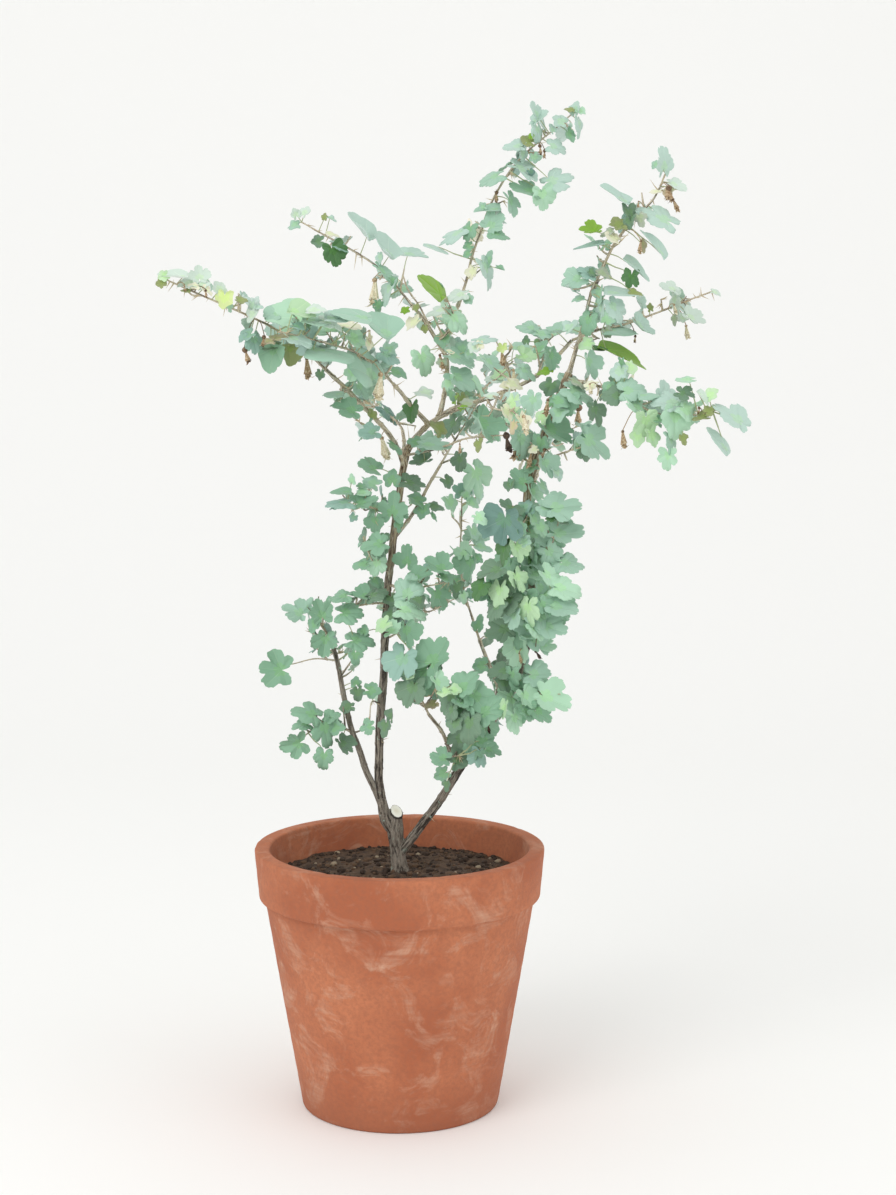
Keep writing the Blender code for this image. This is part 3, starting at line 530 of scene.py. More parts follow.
def growThickWood(wood, names):
    # The trunk, the stems that fork from it and the collars of their boughs, as one skin with soft forks
    heap = Heap()
    axis = []
    stub, facing = stubPlane(wood["trunk"])
    lines = []
    for name in names:
        line, radii = resampled(wood[name], 2 * mm)
        radii = [radius * barkLook["stout"].get(name, 1) for radius in radii]
        if name == "trunk":
            top = (line[-1] - line[-4]).normalized()
            line += [line[-1] + top * 2 * mm * n for n in range(1, 6)]
            radii += [radii[-1]] * 5
        lines.append((name, line, radii))
    for name, spec in limbs.items():
        if spec["on"] in names and name in wood and name not in names:
            line, radii = resampled(wood[name], 2 * mm)
            count = int(barkLook["collar"] / (2 * mm)) + 1
            narrow = (1.05 - barkLook["slender"]) / count
            lines.append((name, line[:count], [radius * (1.05 - narrow * n) for n, radius in enumerate(radii[:count])]))
    callus = [aboveSoil(point[:3]) for point in barkLook["callus"]]
    lines.append(("callus", throughPoints(callus, 4), [
        mm * alongTable([(n, point[3]) for n, point in enumerate(barkLook["callus"])], place / 4)
        for place in range(4 * len(callus) - 3)]))
    for name, line, radii in lines:
        points, faces = tube(line, radii, 20)
        if name == "trunk":
            down = (line[0] - line[-1]).normalized()
            for point in points:
                over = (point - stub).dot(facing)
                if over > 0:
                    point -= down * (over / down.dot(facing))
        heap.add(points, faces)
        along = 0.0
        for index, (point, radius, frames) in enumerate(zip(line, radii, carriedFrames(line))):
            along += (point - line[index - 1]).length if index else 0
            axis.append((point, along, radius, frames, name))
    rough = heap.build("woodGuide", [])
    remesh = rough.modifiers.new("skin", "REMESH")
    remesh.mode = "VOXEL"
    remesh.voxel_size = barkLook["voxel"]
    smooth = rough.modifiers.new("soft", "SMOOTH")
    smooth.factor = 0.5
    smooth.iterations = 6
    mesh = bpy.data.meshes.new_from_object(rough.evaluated_get(bpy.context.evaluated_depsgraph_get()))
    bpy.data.objects.remove(rough)
    tree = kdtree.KDTree(len(axis))
    for index, item in enumerate(axis):
        tree.insert(item[0], index)
    tree.balance()
    rim = 9 * mm
    grains, deeps, shades = [], [], []
    for vertex in mesh.vertices:
        here = vertex.co.copy()
        _, index, away = min(tree.find_n(here, 6), key=lambda found: found[2] - axis[found[1]][2])
        point, along, radius, (one, two, forward), name = axis[index]
        out = here - point
        out -= forward * out.dot(forward)
        spot = Vector((out.dot(one), out.dot(two), along + (here - point).dot(forward))) + nameShift(name)
        grains.append(spot)
        fade = min(max(along / (25 * mm) - 0.4, 0), 1) * min(max(1.9 - (here.z - 0.38) * 15, 0), 1)
        shades.append(barkLook["shade"].get(name, 0) * fade)
        over = (here - stub).dot(facing)
        nearCut = name == "trunk" and (here - stub).length < rim
        if nearCut and over > -0.7 * mm:
            deeps.append(float(out.length > 0.90 * radius))
            vertex.co = here - facing * over
            continue
        deep = fissureAt(spot) * min(radius / (4.5 * mm), 1.0)
        deeps.append(max(deep, 0.9 * (nearCut and over > -1.5 * mm)))
        lump = noise.noise(spot * 210) * barkLook["lumps"] * min(radius / (5 * mm), 1.2)
        bump = nodeBump(along, 1.6 * mm, barkLook["nodeSwell"], radius) if radius < 5 * mm else 0
        vertex.co = here + out.normalized() * (lump + bump - deep * barkLook["fissure"])
    mesh.materials.clear()
    mesh.materials.append(barkFinish("oldBark", 0.85, patch=aboveSoil(barkLook["lichenPatch"])).material)
    mesh.materials.append(cutWoodFinish(stub).material)
    for face in mesh.polygons:
        flat = all(abs((mesh.vertices[n].co - stub).dot(facing)) < 0.05 * mm for n in face.vertices)
        face.material_index = int(flat and (face.center - stub).length < rim)
    storeGrain(mesh, grains)
    for name, values in (("fissure", deeps), ("shade", shades)):
        mesh.attributes.new(name, "FLOAT", "POINT").data.foreach_set("value", values)
    mesh.shade_smooth()
    mesh.set_sharp_from_angle(angle=math.radians(42))
    made = bpy.data.objects.new("trunkAndStems", mesh)
    bpy.context.scene.collection.objects.link(made)
    print("  trunkAndStems:", sum(len(face.vertices) - 2 for face in mesh.polygons), "triangles")
    return made


def nameShift(name):  # a place in the grain for each limb, so that no two have the same bark
    draw = random.Random(name + " grain")
    return Vector((draw.uniform(0, 1), draw.uniform(0, 1), draw.uniform(0, 1)))


def addBough(heap, path, name, sides, step, slender):
    line, radii = resampled(path, step)
    line[0] = line[0].lerp(line[1], 0.2)
    radii = [radius * slender for radius in radii]
    shift = nameShift(name)

    def lift(along, angle, radius):
        place = Vector((math.cos(angle) * radius, math.sin(angle) * radius, along * 0.3)) * 700
        lumps = noise.noise(place + shift * 50) * barkLook["thinLumps"] * radius
        return lumps + nodeBump(along, 1.3 * mm, barkLook["thinNodeSwell"], radius)

    points, faces, grain = tube(line, radii, sides, lift, True)
    heap.add(points, faces, 0, [place + shift for place in grain])


def growThinWood(name, paths, sides, step, slender, finish):
    heap = Heap()
    for limbName, path in paths.items():
        addBough(heap, path, limbName, sides, step, slender)
    return heap.build(name, [finish])


# Leaves

# Lobes: angle from the tip, reach, half breadth. Squareness bends a lobe from a round to a blunt one
leafShape = dict(
    layouts=(
        ((0, 0.88, 33), (57, 0.80, 30), (-57, 0.80, 30), (113, 0.62, 34), (-113, 0.62, 34)),
        ((0, 0.84, 31), (62, 0.84, 33), (-62, 0.84, 33), (120, 0.56, 30), (-120, 0.56, 30)),
        ((0, 0.94, 36), (66, 0.78, 36), (-66, 0.78, 36), (122, 0.50, 28), (-122, 0.50, 28)),
        ((0, 0.80, 34), (60, 0.82, 31), (-60, 0.74, 31), (114, 0.66, 33), (-114, 0.58, 33)),
    ),
    squareness=(2.4, 4.2), leastReach=0.28, veinWidth=0.012, veinDepth=0.007,
    thickness=0.4 * mm, kinds=16, smallLeaf=19 * mm,
)
# How many teeth, rays to a tooth and rings a leaf has, how deep its lobes and its teeth are cut, how far round
# its blade goes, and how far it reaches back behind the stalk
leafFineness = dict(
    fine=dict(teeth=15, rays=4, rings=(0.36, 0.72, 1.0), sinus=(0.24, 0.46), toothDepth=(0.04, 0.10)),
    lobed=dict(teeth=15, rays=4, rings=(0.36, 0.72, 1.0), sinus=(0.40, 0.56), toothDepth=(0.04, 0.10)),
    plain=dict(teeth=11, rays=3, rings=(0.55, 1.0), sinus=(0.26, 0.50), toothDepth=(0.04, 0.09)),
    smooth=dict(teeth=13, rays=4, rings=(0.30, 0.60, 0.85, 1.0), sinus=(0.04, 0.14), toothDepth=(0.01, 0.04),
                lastRay=173, back=0.13),
)
tints = dict(
    glaucous=(160, 196, 174), pale=(180, 207, 194), silver=(204, 221, 208), mint=(176, 214, 185),
    fresh=(135, 177, 147), lime=(178, 212, 170), bright=(128, 170, 54), deep=(112, 143, 117),
    bluish=(146, 183, 168), cream=(230, 229, 205), olive=(146, 157, 104), lemon=(212, 229, 160), dark=(80, 124, 74),
    slate=(106, 142, 131), tan=(196, 184, 152), spring=(196, 226, 184), sage=(172, 184, 164),
)
tintNames = list(tints)
# What is added to a tint for each part of a leaf: the blade, its heart round the stalk, the ribs, the underside
leafParts = dict(Blade=(0, 0, 0), Heart=(-2, 5, -12), Rib=(20, 14, 12), Under=(20, 13, 18))


class LeafKind:  # the faces that every leaf of one fineness shares
    def __init__(self, teeth, rays, rings, sinus, toothDepth, lastRay=157, back=0.36):
        self.lastRay = lastRay
        self.back = back
        self.rings = rings
        self.sinus = sinus
        self.toothDepth = toothDepth
        self.rays = []  # share of the way round, which edge of a rib, how deep in a notch, and which tooth
        for n in range(teeth * rays + 1):
            self.rays.append((n / (teeth * rays) * 2 - 1, 0, float(n % rays == 0), n // rays))
        self.ribs = []
        for centre, _, _ in leafShape["layouts"][0]:
            free = [n for n, ray in enumerate(self.rays) if ray[1] == 0]
            nearest = min(free, key=lambda n: abs(self.rays[n][0] * lastRay - centre))
            self.rays[nearest:nearest + 1] = [(centre, -1, 0.0, -1), (centre, 1, 0.0, -1)]
        self.count = len(self.rays)
        self.under = 1 + len(rings) * self.count
        self.faces, self.roles = self.makeFaces()

    def makeFaces(self):
        faces, roles = [], []

        def spot(start, ring, ray):
            return start + 1 + ring * self.count + ray

        for ray in range(self.count - 1):
            rib = self.rays[ray][1] == -1
            for start in (0, self.under):
                side = [(start, spot(start, 0, ray + 1), spot(start, 0, ray))]
                for ring in range(len(self.rings) - 1):
                    side.append((spot(start, ring, ray), spot(start, ring, ray + 1),
                                 spot(start, ring + 1, ray + 1), spot(start, ring + 1, ray)))
                faces += side if not start else [tuple(reversed(face)) for face in side]
                for ring in range(len(side)):
                    roles.append(3 if start else 2 if rib else 1 if ring == 0 else 0)
            edge = len(self.rings) - 1
            faces.append((spot(0, edge, ray), spot(0, edge, ray + 1),
                          spot(self.under, edge, ray + 1), spot(self.under, edge, ray)))
            roles.append(0)
        for ray, turned in ((0, False), (self.count - 1, True)):
            loop = [0] + [spot(0, ring, ray) for ring in range(len(self.rings))]
            loop += [spot(self.under, ring, ray) for ring in reversed(range(len(self.rings)))] + [self.under]
            faces.append(tuple(reversed(loop)) if turned else tuple(loop))
            roles.append(0)
        return faces, roles

    def form(self, draw):
        # Points of one leaf a unit wide: x across, y along, z up
        shape = leafShape
        layout = draw.choice(shape["layouts"])
        lobes, centres = [], {}
        for (angle, reach, half), (plain, _, _) in zip(layout, shape["layouts"][0]):
            centres[plain] = angle + draw.uniform(-5, 5)
            lobes.append((centres[plain], reach * draw.uniform(0.86, 1.08), half * draw.uniform(0.92, 1.08),
                          draw.uniform(*self.sinus), draw.uniform(*shape["squareness"])))
        toothDepths = [draw.uniform(*self.toothDepth) for _ in range(40)]
        shifts = [draw.uniform(-0.3, 0.3) for _ in range(80)]
        cup, fold = draw.uniform(-0.16, 0.22), draw.uniform(0.02, 0.26)
        droop, ruffle = draw.uniform(0.0, 0.34), draw.uniform(0.04, 0.09)
        curl = draw.uniform(-0.10, 0.14)
        waves = [(count, draw.uniform(0, math.tau), draw.uniform(0.015, 0.05)) for count in (2, 3, 5)]

        def reachAt(angle):
            far = shape["leastReach"]
            for centre, reach, half, sinus, square in lobes:
                away = abs(angle - centre) / half
                far = max(far, reach * (1 - sinus * away ** square))
            behind = -math.cos(math.radians(angle))
            return min(far, self.back / behind) if behind > 0.05 else far

        def spot(ray, number, share):
            place, rib, notch, tooth = ray
            if rib:
                angle = centres[place]
            else:
                step = self.lastRay * 2 / (len(self.rays) - 5)
                angle = place * self.lastRay + shifts[number] * step * (abs(place) < 1)
            depth = toothDepths[tooth] * notch * max(share - 0.5, 0) / 0.5
            far = reachAt(angle) * (1 - depth) * share
            turn = math.radians(angle)
            x, y = math.sin(turn) * far, math.cos(turn) * far
            side = rib * shape["veinWidth"] * (1 - 0.7 * share)
            x, y = x + math.cos(turn) * side, y - math.sin(turn) * side
            ribs = min(abs(angle - centre) for centre in centres.values()) / 27
            z = fold * abs(x) + cup * (x * x + y * y) - droop * y * y + curl * share ** 4
            z += ruffle * share * math.sin(min(ribs, 1) * math.pi / 2) * (1.4 - share)
            for count, start, high in waves:
                z += high * math.sin(count * turn + start) * share * share
            return x, y, z - shape["veinDepth"] * (rib != 0)

        points = []
        for _ in range(2):
            points.append((0, 0, 0))
            for share in self.rings:
                points += [spot(ray, number, share) for number, ray in enumerate(self.rays)]
        points = np.array(points)
        return points / np.ptp(points[:, 0])


class LeafForm:  # one of the forms, and which way round it lies
    def __init__(self, kind, points, flip):
        self.kind = kind
        self.flip = flip
        self.points = points * (flip, 1, 1)
        self.low, self.high = points[:, 1].min(), points[:, 1].max()


leafKinds = {name: LeafKind(**fineness) for name, fineness in leafFineness.items()}
leafForms = {}
for kindName, kind in leafKinds.items():
    formDraw = random.Random(kindName + " leaf forms")
    leafForms[kindName] = [kind.form(formDraw) for _ in range(leafShape["kinds"])]


def pickForm(draw, width, name=None):
    name = name or ("plain" if width < leafShape["smallLeaf"] else "fine")
    return LeafForm(leafKinds[name], leafForms[name][draw.randrange(leafShape["kinds"])], draw.choice((-1, 1)))


def placeLeaf(heap, base, along, up, width, tint, form, stretch, bend):
    kind = form.kind
    across = along.cross(up).normalized()
    up = across.cross(along).normalized()
    placed = form.points * (1, stretch, bend) * width @ np.array((across, along, up)) + np.array(base)
    placed[kind.under:] -= np.array(up) * leafShape["thickness"]
    slots = [tintNames.index(tint) * len(leafParts) + role for role in kind.roles]
    faces = kind.faces if form.flip > 0 else [tuple(reversed(face)) for face in kind.faces]
    heap.add(placed, faces, slots)


def leafFinish(name, colour):
    # A mealy, finely puckered skin in one plain colour
    finish = Finish(name, colour, 0.62, Sheen_Weight=0.15, Sheen_Roughness=0.5)
    where = finish.place()
    fine = finish.cloud(where, 1300, 2, 0.6)
    puckers = finish.cloud(where, 420, 2, 0.5)
    finish.rough(finish.steps(fine, ((0.35, 0.50), (0.65, 0.72))))
    finish.relief(puckers + fine * 0.3, 0.35 * mm, 0.6)
    return finish


def leafFinishes():
    made = []
    for name, colour in tints.items():
        for part, added in leafParts.items():
            made.append(leafFinish(name + part, paint(*[c + more for c, more in zip(colour, added)])))
    return made


# Growth: the rule that fills a stem with leaves, twigs and berries

growthRule = dict(
    goldenTurn=math.radians(137.5), twigRise=0.25, tipReach=0.45, stalkShare=0.30,
    light=Vector((0.08, -0.86, 0.50)), leafScale=0.96, tuft=1.9, tuftWidth=(0.45, 0.85),
    twigThick=1.1 * mm, twigThin=0.6 * mm, stalkThick=0.55 * mm, stalkThin=0.34 * mm,
    spineLength=9 * mm, spineThick=0.70 * mm, bristleEvery=6 * mm, closest=0.27, depthEvery=9 * mm,
    depthReach=(12 * mm, 40 * mm), ownNearer=6 * mm, ownStep=3.5 * mm, ownOverlap=0.19,
)
dryTones = dict(cream=(1, 1, 0, 0), tan=(1, 2, 1, 1), brown=(2, 2, 1, 2), dark=(2, 3, 3, 3))


def growth(name, stem, spec):
    draw = random.Random(name + " growth")
    turn = draw.uniform(0, math.tau)
    shoots = spec["leaves"] + spec["twigs"]

    def leaf(root, direction, share):
        footWidth, tipWidth = spec["width"]
        width = (footWidth + (tipWidth - footWidth) * share) * draw.uniform(0.82, 1.15) * mm
        stalk = growthRule["stalkShare"] * width * draw.uniform(0.75, 1.35)
        outward = Vector((root.x, root.y, 0)).normalized()
        loose = Vector((draw.gauss(0, 0.3), draw.gauss(0, 0.3), draw.gauss(0, 0.3)))
        facing = growthRule["light"] * spec["front"] + (sky + outward * 0.45) * (1 - spec["front"]) + loose
        return "leaf", root, direction, facing.normalized(), stalk, width

    for shoot in range(shoots):
        share = (shoot + 0.55) / shoots
        turn += growthRule["goldenTurn"] + draw.uniform(-0.4, 0.4)
        root, forward = stem.at(0.08 + 0.92 * share)
        side = forward.cross(Vector((0.2, 0.1, 1.0))).normalized()
        sideways = side * math.cos(turn) + forward.cross(side) * math.sin(turn)
        direction = (sideways + forward * draw.uniform(0.3, 0.8)).normalized()
        if (shoot * spec["twigs"]) // shoots == ((shoot - 1) * spec["twigs"]) // shoots:
            yield [leaf(root, direction, share)]
            continue
        length = spec["reach"] * mm * (1 - (1 - growthRule["tipReach"]) * share) * draw.uniform(0.85, 1.15)
        end = root + (direction + sky * growthRule["twigRise"]) * length
        onward = (end - root).normalized()
        bend = onward.cross(sideways.cross(forward)).normalized() * draw.choice((-1, 1))
        aside = (bend + onward * 0.7).normalized()
        yield [
            ("twig", root, end),
            leaf(root.lerp(end, 0.6), aside, share),
            leaf(root.lerp(end, 0.97), onward, share),
        ]
    yield [leaf(*stem.at(0.99), 1.0)]
    for berry in range(spec["berries"]):
        yield [("berry", stem.at((berry + 0.7) / spec["berries"])[0])]


def tintFor(draw, spot):
    # Lower leaves are a fresh blue-green, those at the right brighter, and the upper ones pale
    high = min(max((spot.z - 0.52) / 0.26, 0), 1)
    right = min(max((spot.x - 0.04) / 0.06, 0), 1) * (1 - high)
    weights = dict(
        glaucous=4.2 - 1.2 * high, fresh=3.2 - 2.4 * high, mint=0.7 + 0.9 * high + 1.6 * right,
        pale=0.3 + 4.6 * high + 0.9 * right, deep=1.3 - 1.0 * high, bluish=0.9 + 0.5 * high,
        lime=0.12 + 0.22 * high + 0.12 * right, cream=0.5 * high)
    return draw.choices(list(weights), list(weights.values()))[0]


def scatter(draw, spread):
    return Vector((draw.gauss(0, spread), draw.gauss(0, spread), draw.gauss(0, spread)))


def turnedAbout(direction, axis, angle):
    return Matrix.Rotation(angle, 3, axis) @ direction


# Leaves with a place of their own as the viewer sees them, the nearer ones of a bough last: place across and
# down, how long and how wide each looks, all in steps of the viewer's grid, which way its tip points in
# degrees, its tint and, where it matters, how it is cut
ownLeaves = (
    # Far left bough
    (101, 388, 38, 12, 180, "silver"), (88, 397, 14, 14, 262, "olive"), (90, 388, 15, 15, 200, "spring"),
    (135, 386, 24, 30, 95, "silver"), (120, 398, 26, 15, 190, "silver"), (140, 399, 20, 13, 20, "silver"), (128, 400, 16, 8, 180, "cream"), (145, 406, 18, 8, 330, "cream"), (118, 406, 14, 8, 180, "olive"),
    (159, 403, 20, 18, 120, "silver"), (188, 418, 17, 9, 0, "olive"), (173, 427, 14, 11, 270, "glaucous"),
    (166, 417, 26, 24, 260, "lemon"), (202, 426, 19, 12, 270, "pale"), (209, 427, 14, 6, 0, "pale"),
    (201, 438, 20, 14, 230, "silver"), (204, 471, 30, 24, 285, "bluish"), (194, 463, 24, 18, 215, "bluish"),
    (226, 476, 26, 14, 190, "deep"), (234, 466, 24, 11, 10, "tan"), (220, 470, 20, 12, 200, "tan"), (225, 491, 38, 36, 255, "fresh", "smooth"),
    (249, 487, 28, 24, 275, "olive", "smooth"), (258, 467, 40, 18, 350, "pale"), (226, 436, 22, 22, 190, "glaucous", "smooth"),
    (284, 445, 40, 26, 350, "glaucous", "smooth"), (243, 438, 52, 36, 165, "mint", "smooth"), (264, 434, 36, 20, 350, "lime", "smooth"), (282, 431, 28, 15, 10, "silver"),
    (258, 453, 20, 9, 340, "bluish"), (272, 450, 11, 7, 290, "deep"), (322, 451, 36, 15, 0, "cream"),
    (300, 483, 62, 27, 350, "glaucous", "smooth"), (300, 447, 34, 14, 350, "silver"), (312, 441, 40, 14, 5, "pale", "smooth"), (326, 437, 54, 18, 175, "glaucous", "smooth"), (360, 451, 48, 30, 140, "glaucous", "smooth"),
    (338, 530, 30, 22, 310, "glaucous"), (342, 498, 60, 34, 120, "glaucous", "smooth"), (331, 468, 28, 20, 330, "mint"),
    (348, 472, 20, 12, 275, "cream"), (328, 509, 25, 25, 260, "mint"), (376, 479, 22, 14, 40, "glaucous"),
    (374, 488, 32, 22, 335, "bluish"), (384, 510, 27, 13, 345, "fresh"), (287, 512, 15, 14, 260, "deep"),
    (303, 536, 28, 9, 180, "glaucous"), (320, 555, 40, 27, 160, "fresh"), (349, 584, 29, 22, 185, "bluish"),
    (352, 561, 16, 11, 100, "olive"), (402, 557, 32, 24, 265, "dark"), (373, 560, 36, 17, 320, "slate"),
    # Upper left bough
    (256, 310, 15, 14, 120, "silver"), (269, 308, 16, 13, 55, "silver"), (254, 324, 17, 11, 190, "glaucous"),
    (293, 314, 10, 8, 80, "olive"), (302, 317, 14, 7, 340, "pale"), (303, 336, 19, 7, 350, "cream"),
    (313, 352, 24, 14, 325, "bluish"), (284, 345, 18, 17, 190, "deep"), (304, 360, 34, 30, 290, "dark"),
    (336, 327, 46, 20, 132, "pale", "smooth"), (366, 352, 42, 18, 130, "pale", "smooth"), (363, 366, 17, 9, 270, "pale"),
    (404, 362, 40, 15, 355, "pale", "lobed"), (433, 354, 34, 9, 345, "pale"), (368, 384, 36, 14, 325, "glaucous"),
    (373, 408, 38, 20, 255, "pale"), (378, 396, 18, 10, 300, "fresh"), (360, 426, 19, 15, 285, "fresh"),
    (394, 405, 21, 12, 20, "glaucous"), (394, 432, 13, 9, 195, "bright"), (408, 427, 11, 10, 60, "olive"),
    (427, 401, 44, 26, 145, "bright", "smooth"), (405, 448, 25, 14, 215, "cream"), (419, 454, 12, 10, 265, "olive"),
    (433, 447, 16, 9, 255, "glaucous"), (434, 431, 30, 15, 170, "silver"), (459, 444, 40, 32, 325, "mint"),
    (445, 467, 25, 20, 260, "fresh"), (450, 483, 14, 5, 0, "cream"), (417, 495, 38, 31, 290, "mint"),
    (466, 477, 22, 18, 75, "glaucous"), (462, 490, 44, 20, 350, "glaucous"), (477, 486, 18, 13, 330, "glaucous"),
    # Top bough
    (560, 209, 28, 17, 275, "pale"), (562, 191, 28, 16, 60, "pale"), (557, 183, 26, 17, 115, "pale"),
    (548, 220, 21, 14, 165, "olive"), (553, 213, 10, 7, 60, "bright"), (541, 237, 22, 12, 290, "pale"),
    (531, 227, 30, 17, 170, "pale"), (584, 228, 28, 18, 350, "pale"), (600, 213, 21, 16, 295, "fresh"),
    (588, 195, 21, 14, 150, "pale"), (578, 205, 14, 10, 120, "pale"), (608, 180, 20, 15, 80, "pale"),
    (600, 181, 14, 9, 160, "olive"), (614, 184, 14, 10, 340, "mint"), (613, 203, 28, 12, 280, "pale"),
    (556, 241, 15, 16, 290, "glaucous"), (543, 257, 42, 25, 335, "pale"), (552, 259, 10, 8, 300, "slate"),
    (503, 266, 36, 16, 195, "glaucous"), (545, 281, 44, 20, 160, "fresh"), (585, 267, 42, 36, 20, "pale", "lobed"),
    (566, 290, 34, 31, 285, "mint"), (527, 298, 34, 20, 295, "glaucous"), (497, 305, 34, 11, 180, "glaucous"),
    (491, 301, 12, 10, 120, "glaucous"), (506, 322, 32, 27, 40, "glaucous"), (512, 336, 30, 17, 350, "fresh"),
    (455, 337, 44, 17, 207, "pale"), (474, 332, 26, 19, 245, "fresh"), (473, 351, 14, 12, 200, "fresh"),
    (472, 361, 12, 10, 200, "fresh"), (500, 367, 24, 15, 75, "glaucous"), (480, 384, 20, 16, 250, "cream"),
    (497, 383, 44, 23, 300, "pale"), (513, 379, 13, 9, 345, "fresh"), (460, 412, 30, 21, 180, "silver"),
    (474, 417, 15, 13, 305, "glaucous"),
    # Crown at the right
    (708, 250, 12, 10, 220, "glaucous"), (719, 246, 38, 25, 105, "pale"), (735, 275, 28, 16, 350, "silver"), (727, 281, 18, 10, 200, "cream"), (724, 285, 14, 12, 260, "tan"),
    (708, 283, 16, 6, 180, "cream"), (657, 287, 44, 13, 147, "pale"), (711, 313, 58, 21, 150, "pale"),
    (690, 318, 20, 18, 290, "sage"), (673, 308, 26, 20, 140, "deep"), (676, 320, 20, 15, 260, "deep"),
    (661, 325, 23, 16, 185, "olive"), (648, 334, 20, 15, 180, "sage"), (627, 332, 30, 18, 180, "bright"),
    (655, 340, 24, 13, 150, "cream"), (625, 351, 40, 12, 180, "bluish"), (706, 348, 48, 13, 135, "pale"), (692, 350, 20, 10, 285, "tan"),
    (685, 380, 44, 10, 320, "pale"), (678, 391, 26, 22, 255, "dark", "lobed"), (644, 387, 24, 16, 345, "sage"), (639, 411, 26, 12, 262, "glaucous"), (641, 432, 28, 13, 268, "pale"),
    (607, 393, 35, 24, 190, "glaucous"), (624, 382, 28, 18, 150, "bluish"), (630, 384, 14, 10, 340, "deep"),
    (612, 417, 18, 8, 180, "glaucous"), (669, 410, 50, 16, 350, "pale"), (684, 409, 20, 12, 340, "olive"),
    (659, 430, 36, 24, 305, "pale"), (624, 447, 32, 24, 250, "fresh"), (665, 456, 46, 13, 355, "glaucous"),
    (692, 452, 36, 18, 325, "pale"), (648, 459, 16, 14, 300, "sage"), (727, 403, 28, 14, 150, "silver"),
    (733, 422, 32, 13, 265, "silver"), (733, 443, 16, 7, 260, "sage"), (743, 440, 16, 13, 200, "silver"),
    (757, 442, 32, 15, 330, "silver"), (785, 409, 15, 9, 340, "silver"), (703, 427, 12, 9, 90, "olive"),
    # Far right bough
    (668, 489, 68, 16, 333, "bright", "smooth"), (640, 480, 20, 9, 5, "dark", "smooth"),
    (667, 497, 16, 9, 270, "fresh"), (679, 503, 19, 15, 290, "spring"), (665, 509, 24, 16, 250, "pale"),
    (652, 530, 20, 18, 200, "fresh"), (656, 538, 30, 24, 180, "deep"), (681, 531, 38, 28, 10, "glaucous"),
    (626, 500, 38, 25, 290, "glaucous"), (611, 521, 26, 13, 335, "sage"), (613, 534, 46, 26, 330, "glaucous"),
    (600, 547, 34, 24, 250, "fresh"), (586, 560, 26, 20, 230, "glaucous"), (580, 545, 20, 14, 80, "fresh"), (622, 473, 22, 18, 200, "lime"), (635, 560, 36, 32, 300, "deep", "lobed"), (630, 525, 20, 12, 20, "cream"),
    (633, 598, 54, 44, 330, "glaucous", "lobed"), (748, 518, 27, 11, 178, "mint"), (781, 536, 20, 14, 40, "spring"), (779, 556, 18, 14, 30, "olive"), (768, 566, 24, 10, 180, "olive"), (770, 541, 24, 8, 300, "silver"),
    (747, 536, 27, 20, 335, "deep", "lobed"), (725, 546, 42, 28, 165, "pale"), (703, 537, 30, 10, 0, "glaucous"),
    (807, 562, 54, 27, 135, "pale"), (790, 594, 44, 13, 130, "pale"), (715, 569, 15, 10, 350, "fresh"),
    (688, 590, 28, 18, 265, "lime"), (683, 550, 34, 17, 135, "mint"), (698, 573, 36, 34, 280, "lime"),
    (706, 590, 28, 20, 290, "lime"), (735, 570, 48, 40, 275, "mint"), (751, 557, 28, 21, 320, "mint"),
    (731, 597, 32, 17, 280, "glaucous"), (726, 618, 30, 26, 265, "mint", "lobed"), (746, 593, 16, 13, 290, "olive"),
    # Middle of the crown
    (494, 467, 34, 12, 10, "pale"), (482, 478, 18, 15, 220, "silver"), (488, 475, 14, 12, 260, "cream"),
    (517, 478, 14, 12, 270, "lemon"), (540, 479, 42, 17, 0, "glaucous"), (547, 468, 13, 11, 90, "deep"),
    (549, 452, 32, 17, 168, "glaucous"), (567, 461, 26, 15, 335, "glaucous"), (589, 457, 32, 15, 15, "glaucous"),
    (603, 451, 24, 15, 45, "pale"), (566, 478, 24, 19, 60, "fresh"), (547, 489, 28, 17, 345, "lime"),
    (578, 491, 32, 20, 280, "fresh"), (570, 507, 22, 11, 185, "bright"), (503, 498, 32, 17, 320, "glaucous"),
    (548, 508, 30, 19, 330, "glaucous"), (508, 516, 28, 14, 180, "silver"), (513, 512, 24, 13, 200, "lime"), (531, 524, 26, 15, 335, "cream"), (520, 528, 16, 10, 180, "cream"),
    (464, 518, 42, 26, 325, "glaucous"), (449, 523, 26, 18, 260, "mint"), (485, 528, 32, 11, 300, "mint"),
    (464, 543, 20, 14, 280, "olive"), (474, 549, 24, 14, 10, "sage"), (457, 541, 16, 7, 75, "bright"), (467, 553, 13, 6, 35, "bright"), (503, 539, 20, 9, 10, "silver"),
    (555, 548, 34, 28, 250, "glaucous"), (531, 548, 27, 23, 265, "spring"), (577, 527, 27, 26, 250, "deep"),
    (567, 564, 22, 15, 80, "spring"), (541, 599, 42, 28, 280, "glaucous"), (566, 598, 24, 20, 260, "fresh"), (552, 628, 22, 16, 200, "fresh"), (581, 585, 52, 30, 325, "fresh"),
    (590, 545, 26, 18, 340, "fresh"), (494, 578, 50, 36, 310, "fresh"), (454, 577, 34, 29, 250, "deep"),
    (486, 600, 20, 10, 265, "olive"), (541, 571, 26, 18, 300, "cream"), (530, 577, 20, 12, 240, "tan"), (556, 606, 14, 12, 200, "cream"), (522, 560, 24, 14, 300, "cream"),
    (586, 636, 22, 14, 300, "pale"), (572, 627, 34, 27, 290, "glaucous"), (463, 621, 27, 22, 260, "deep"),
    (486, 643, 50, 42, 290, "mint", "lobed"), (417, 533, 26, 11, 165, "silver"), (436, 577, 26, 14, 120, "olive"), (440, 497, 14, 15, 270, "sage"), (452, 537, 18, 12, 270, "fresh"),
    # Left side of the main stem
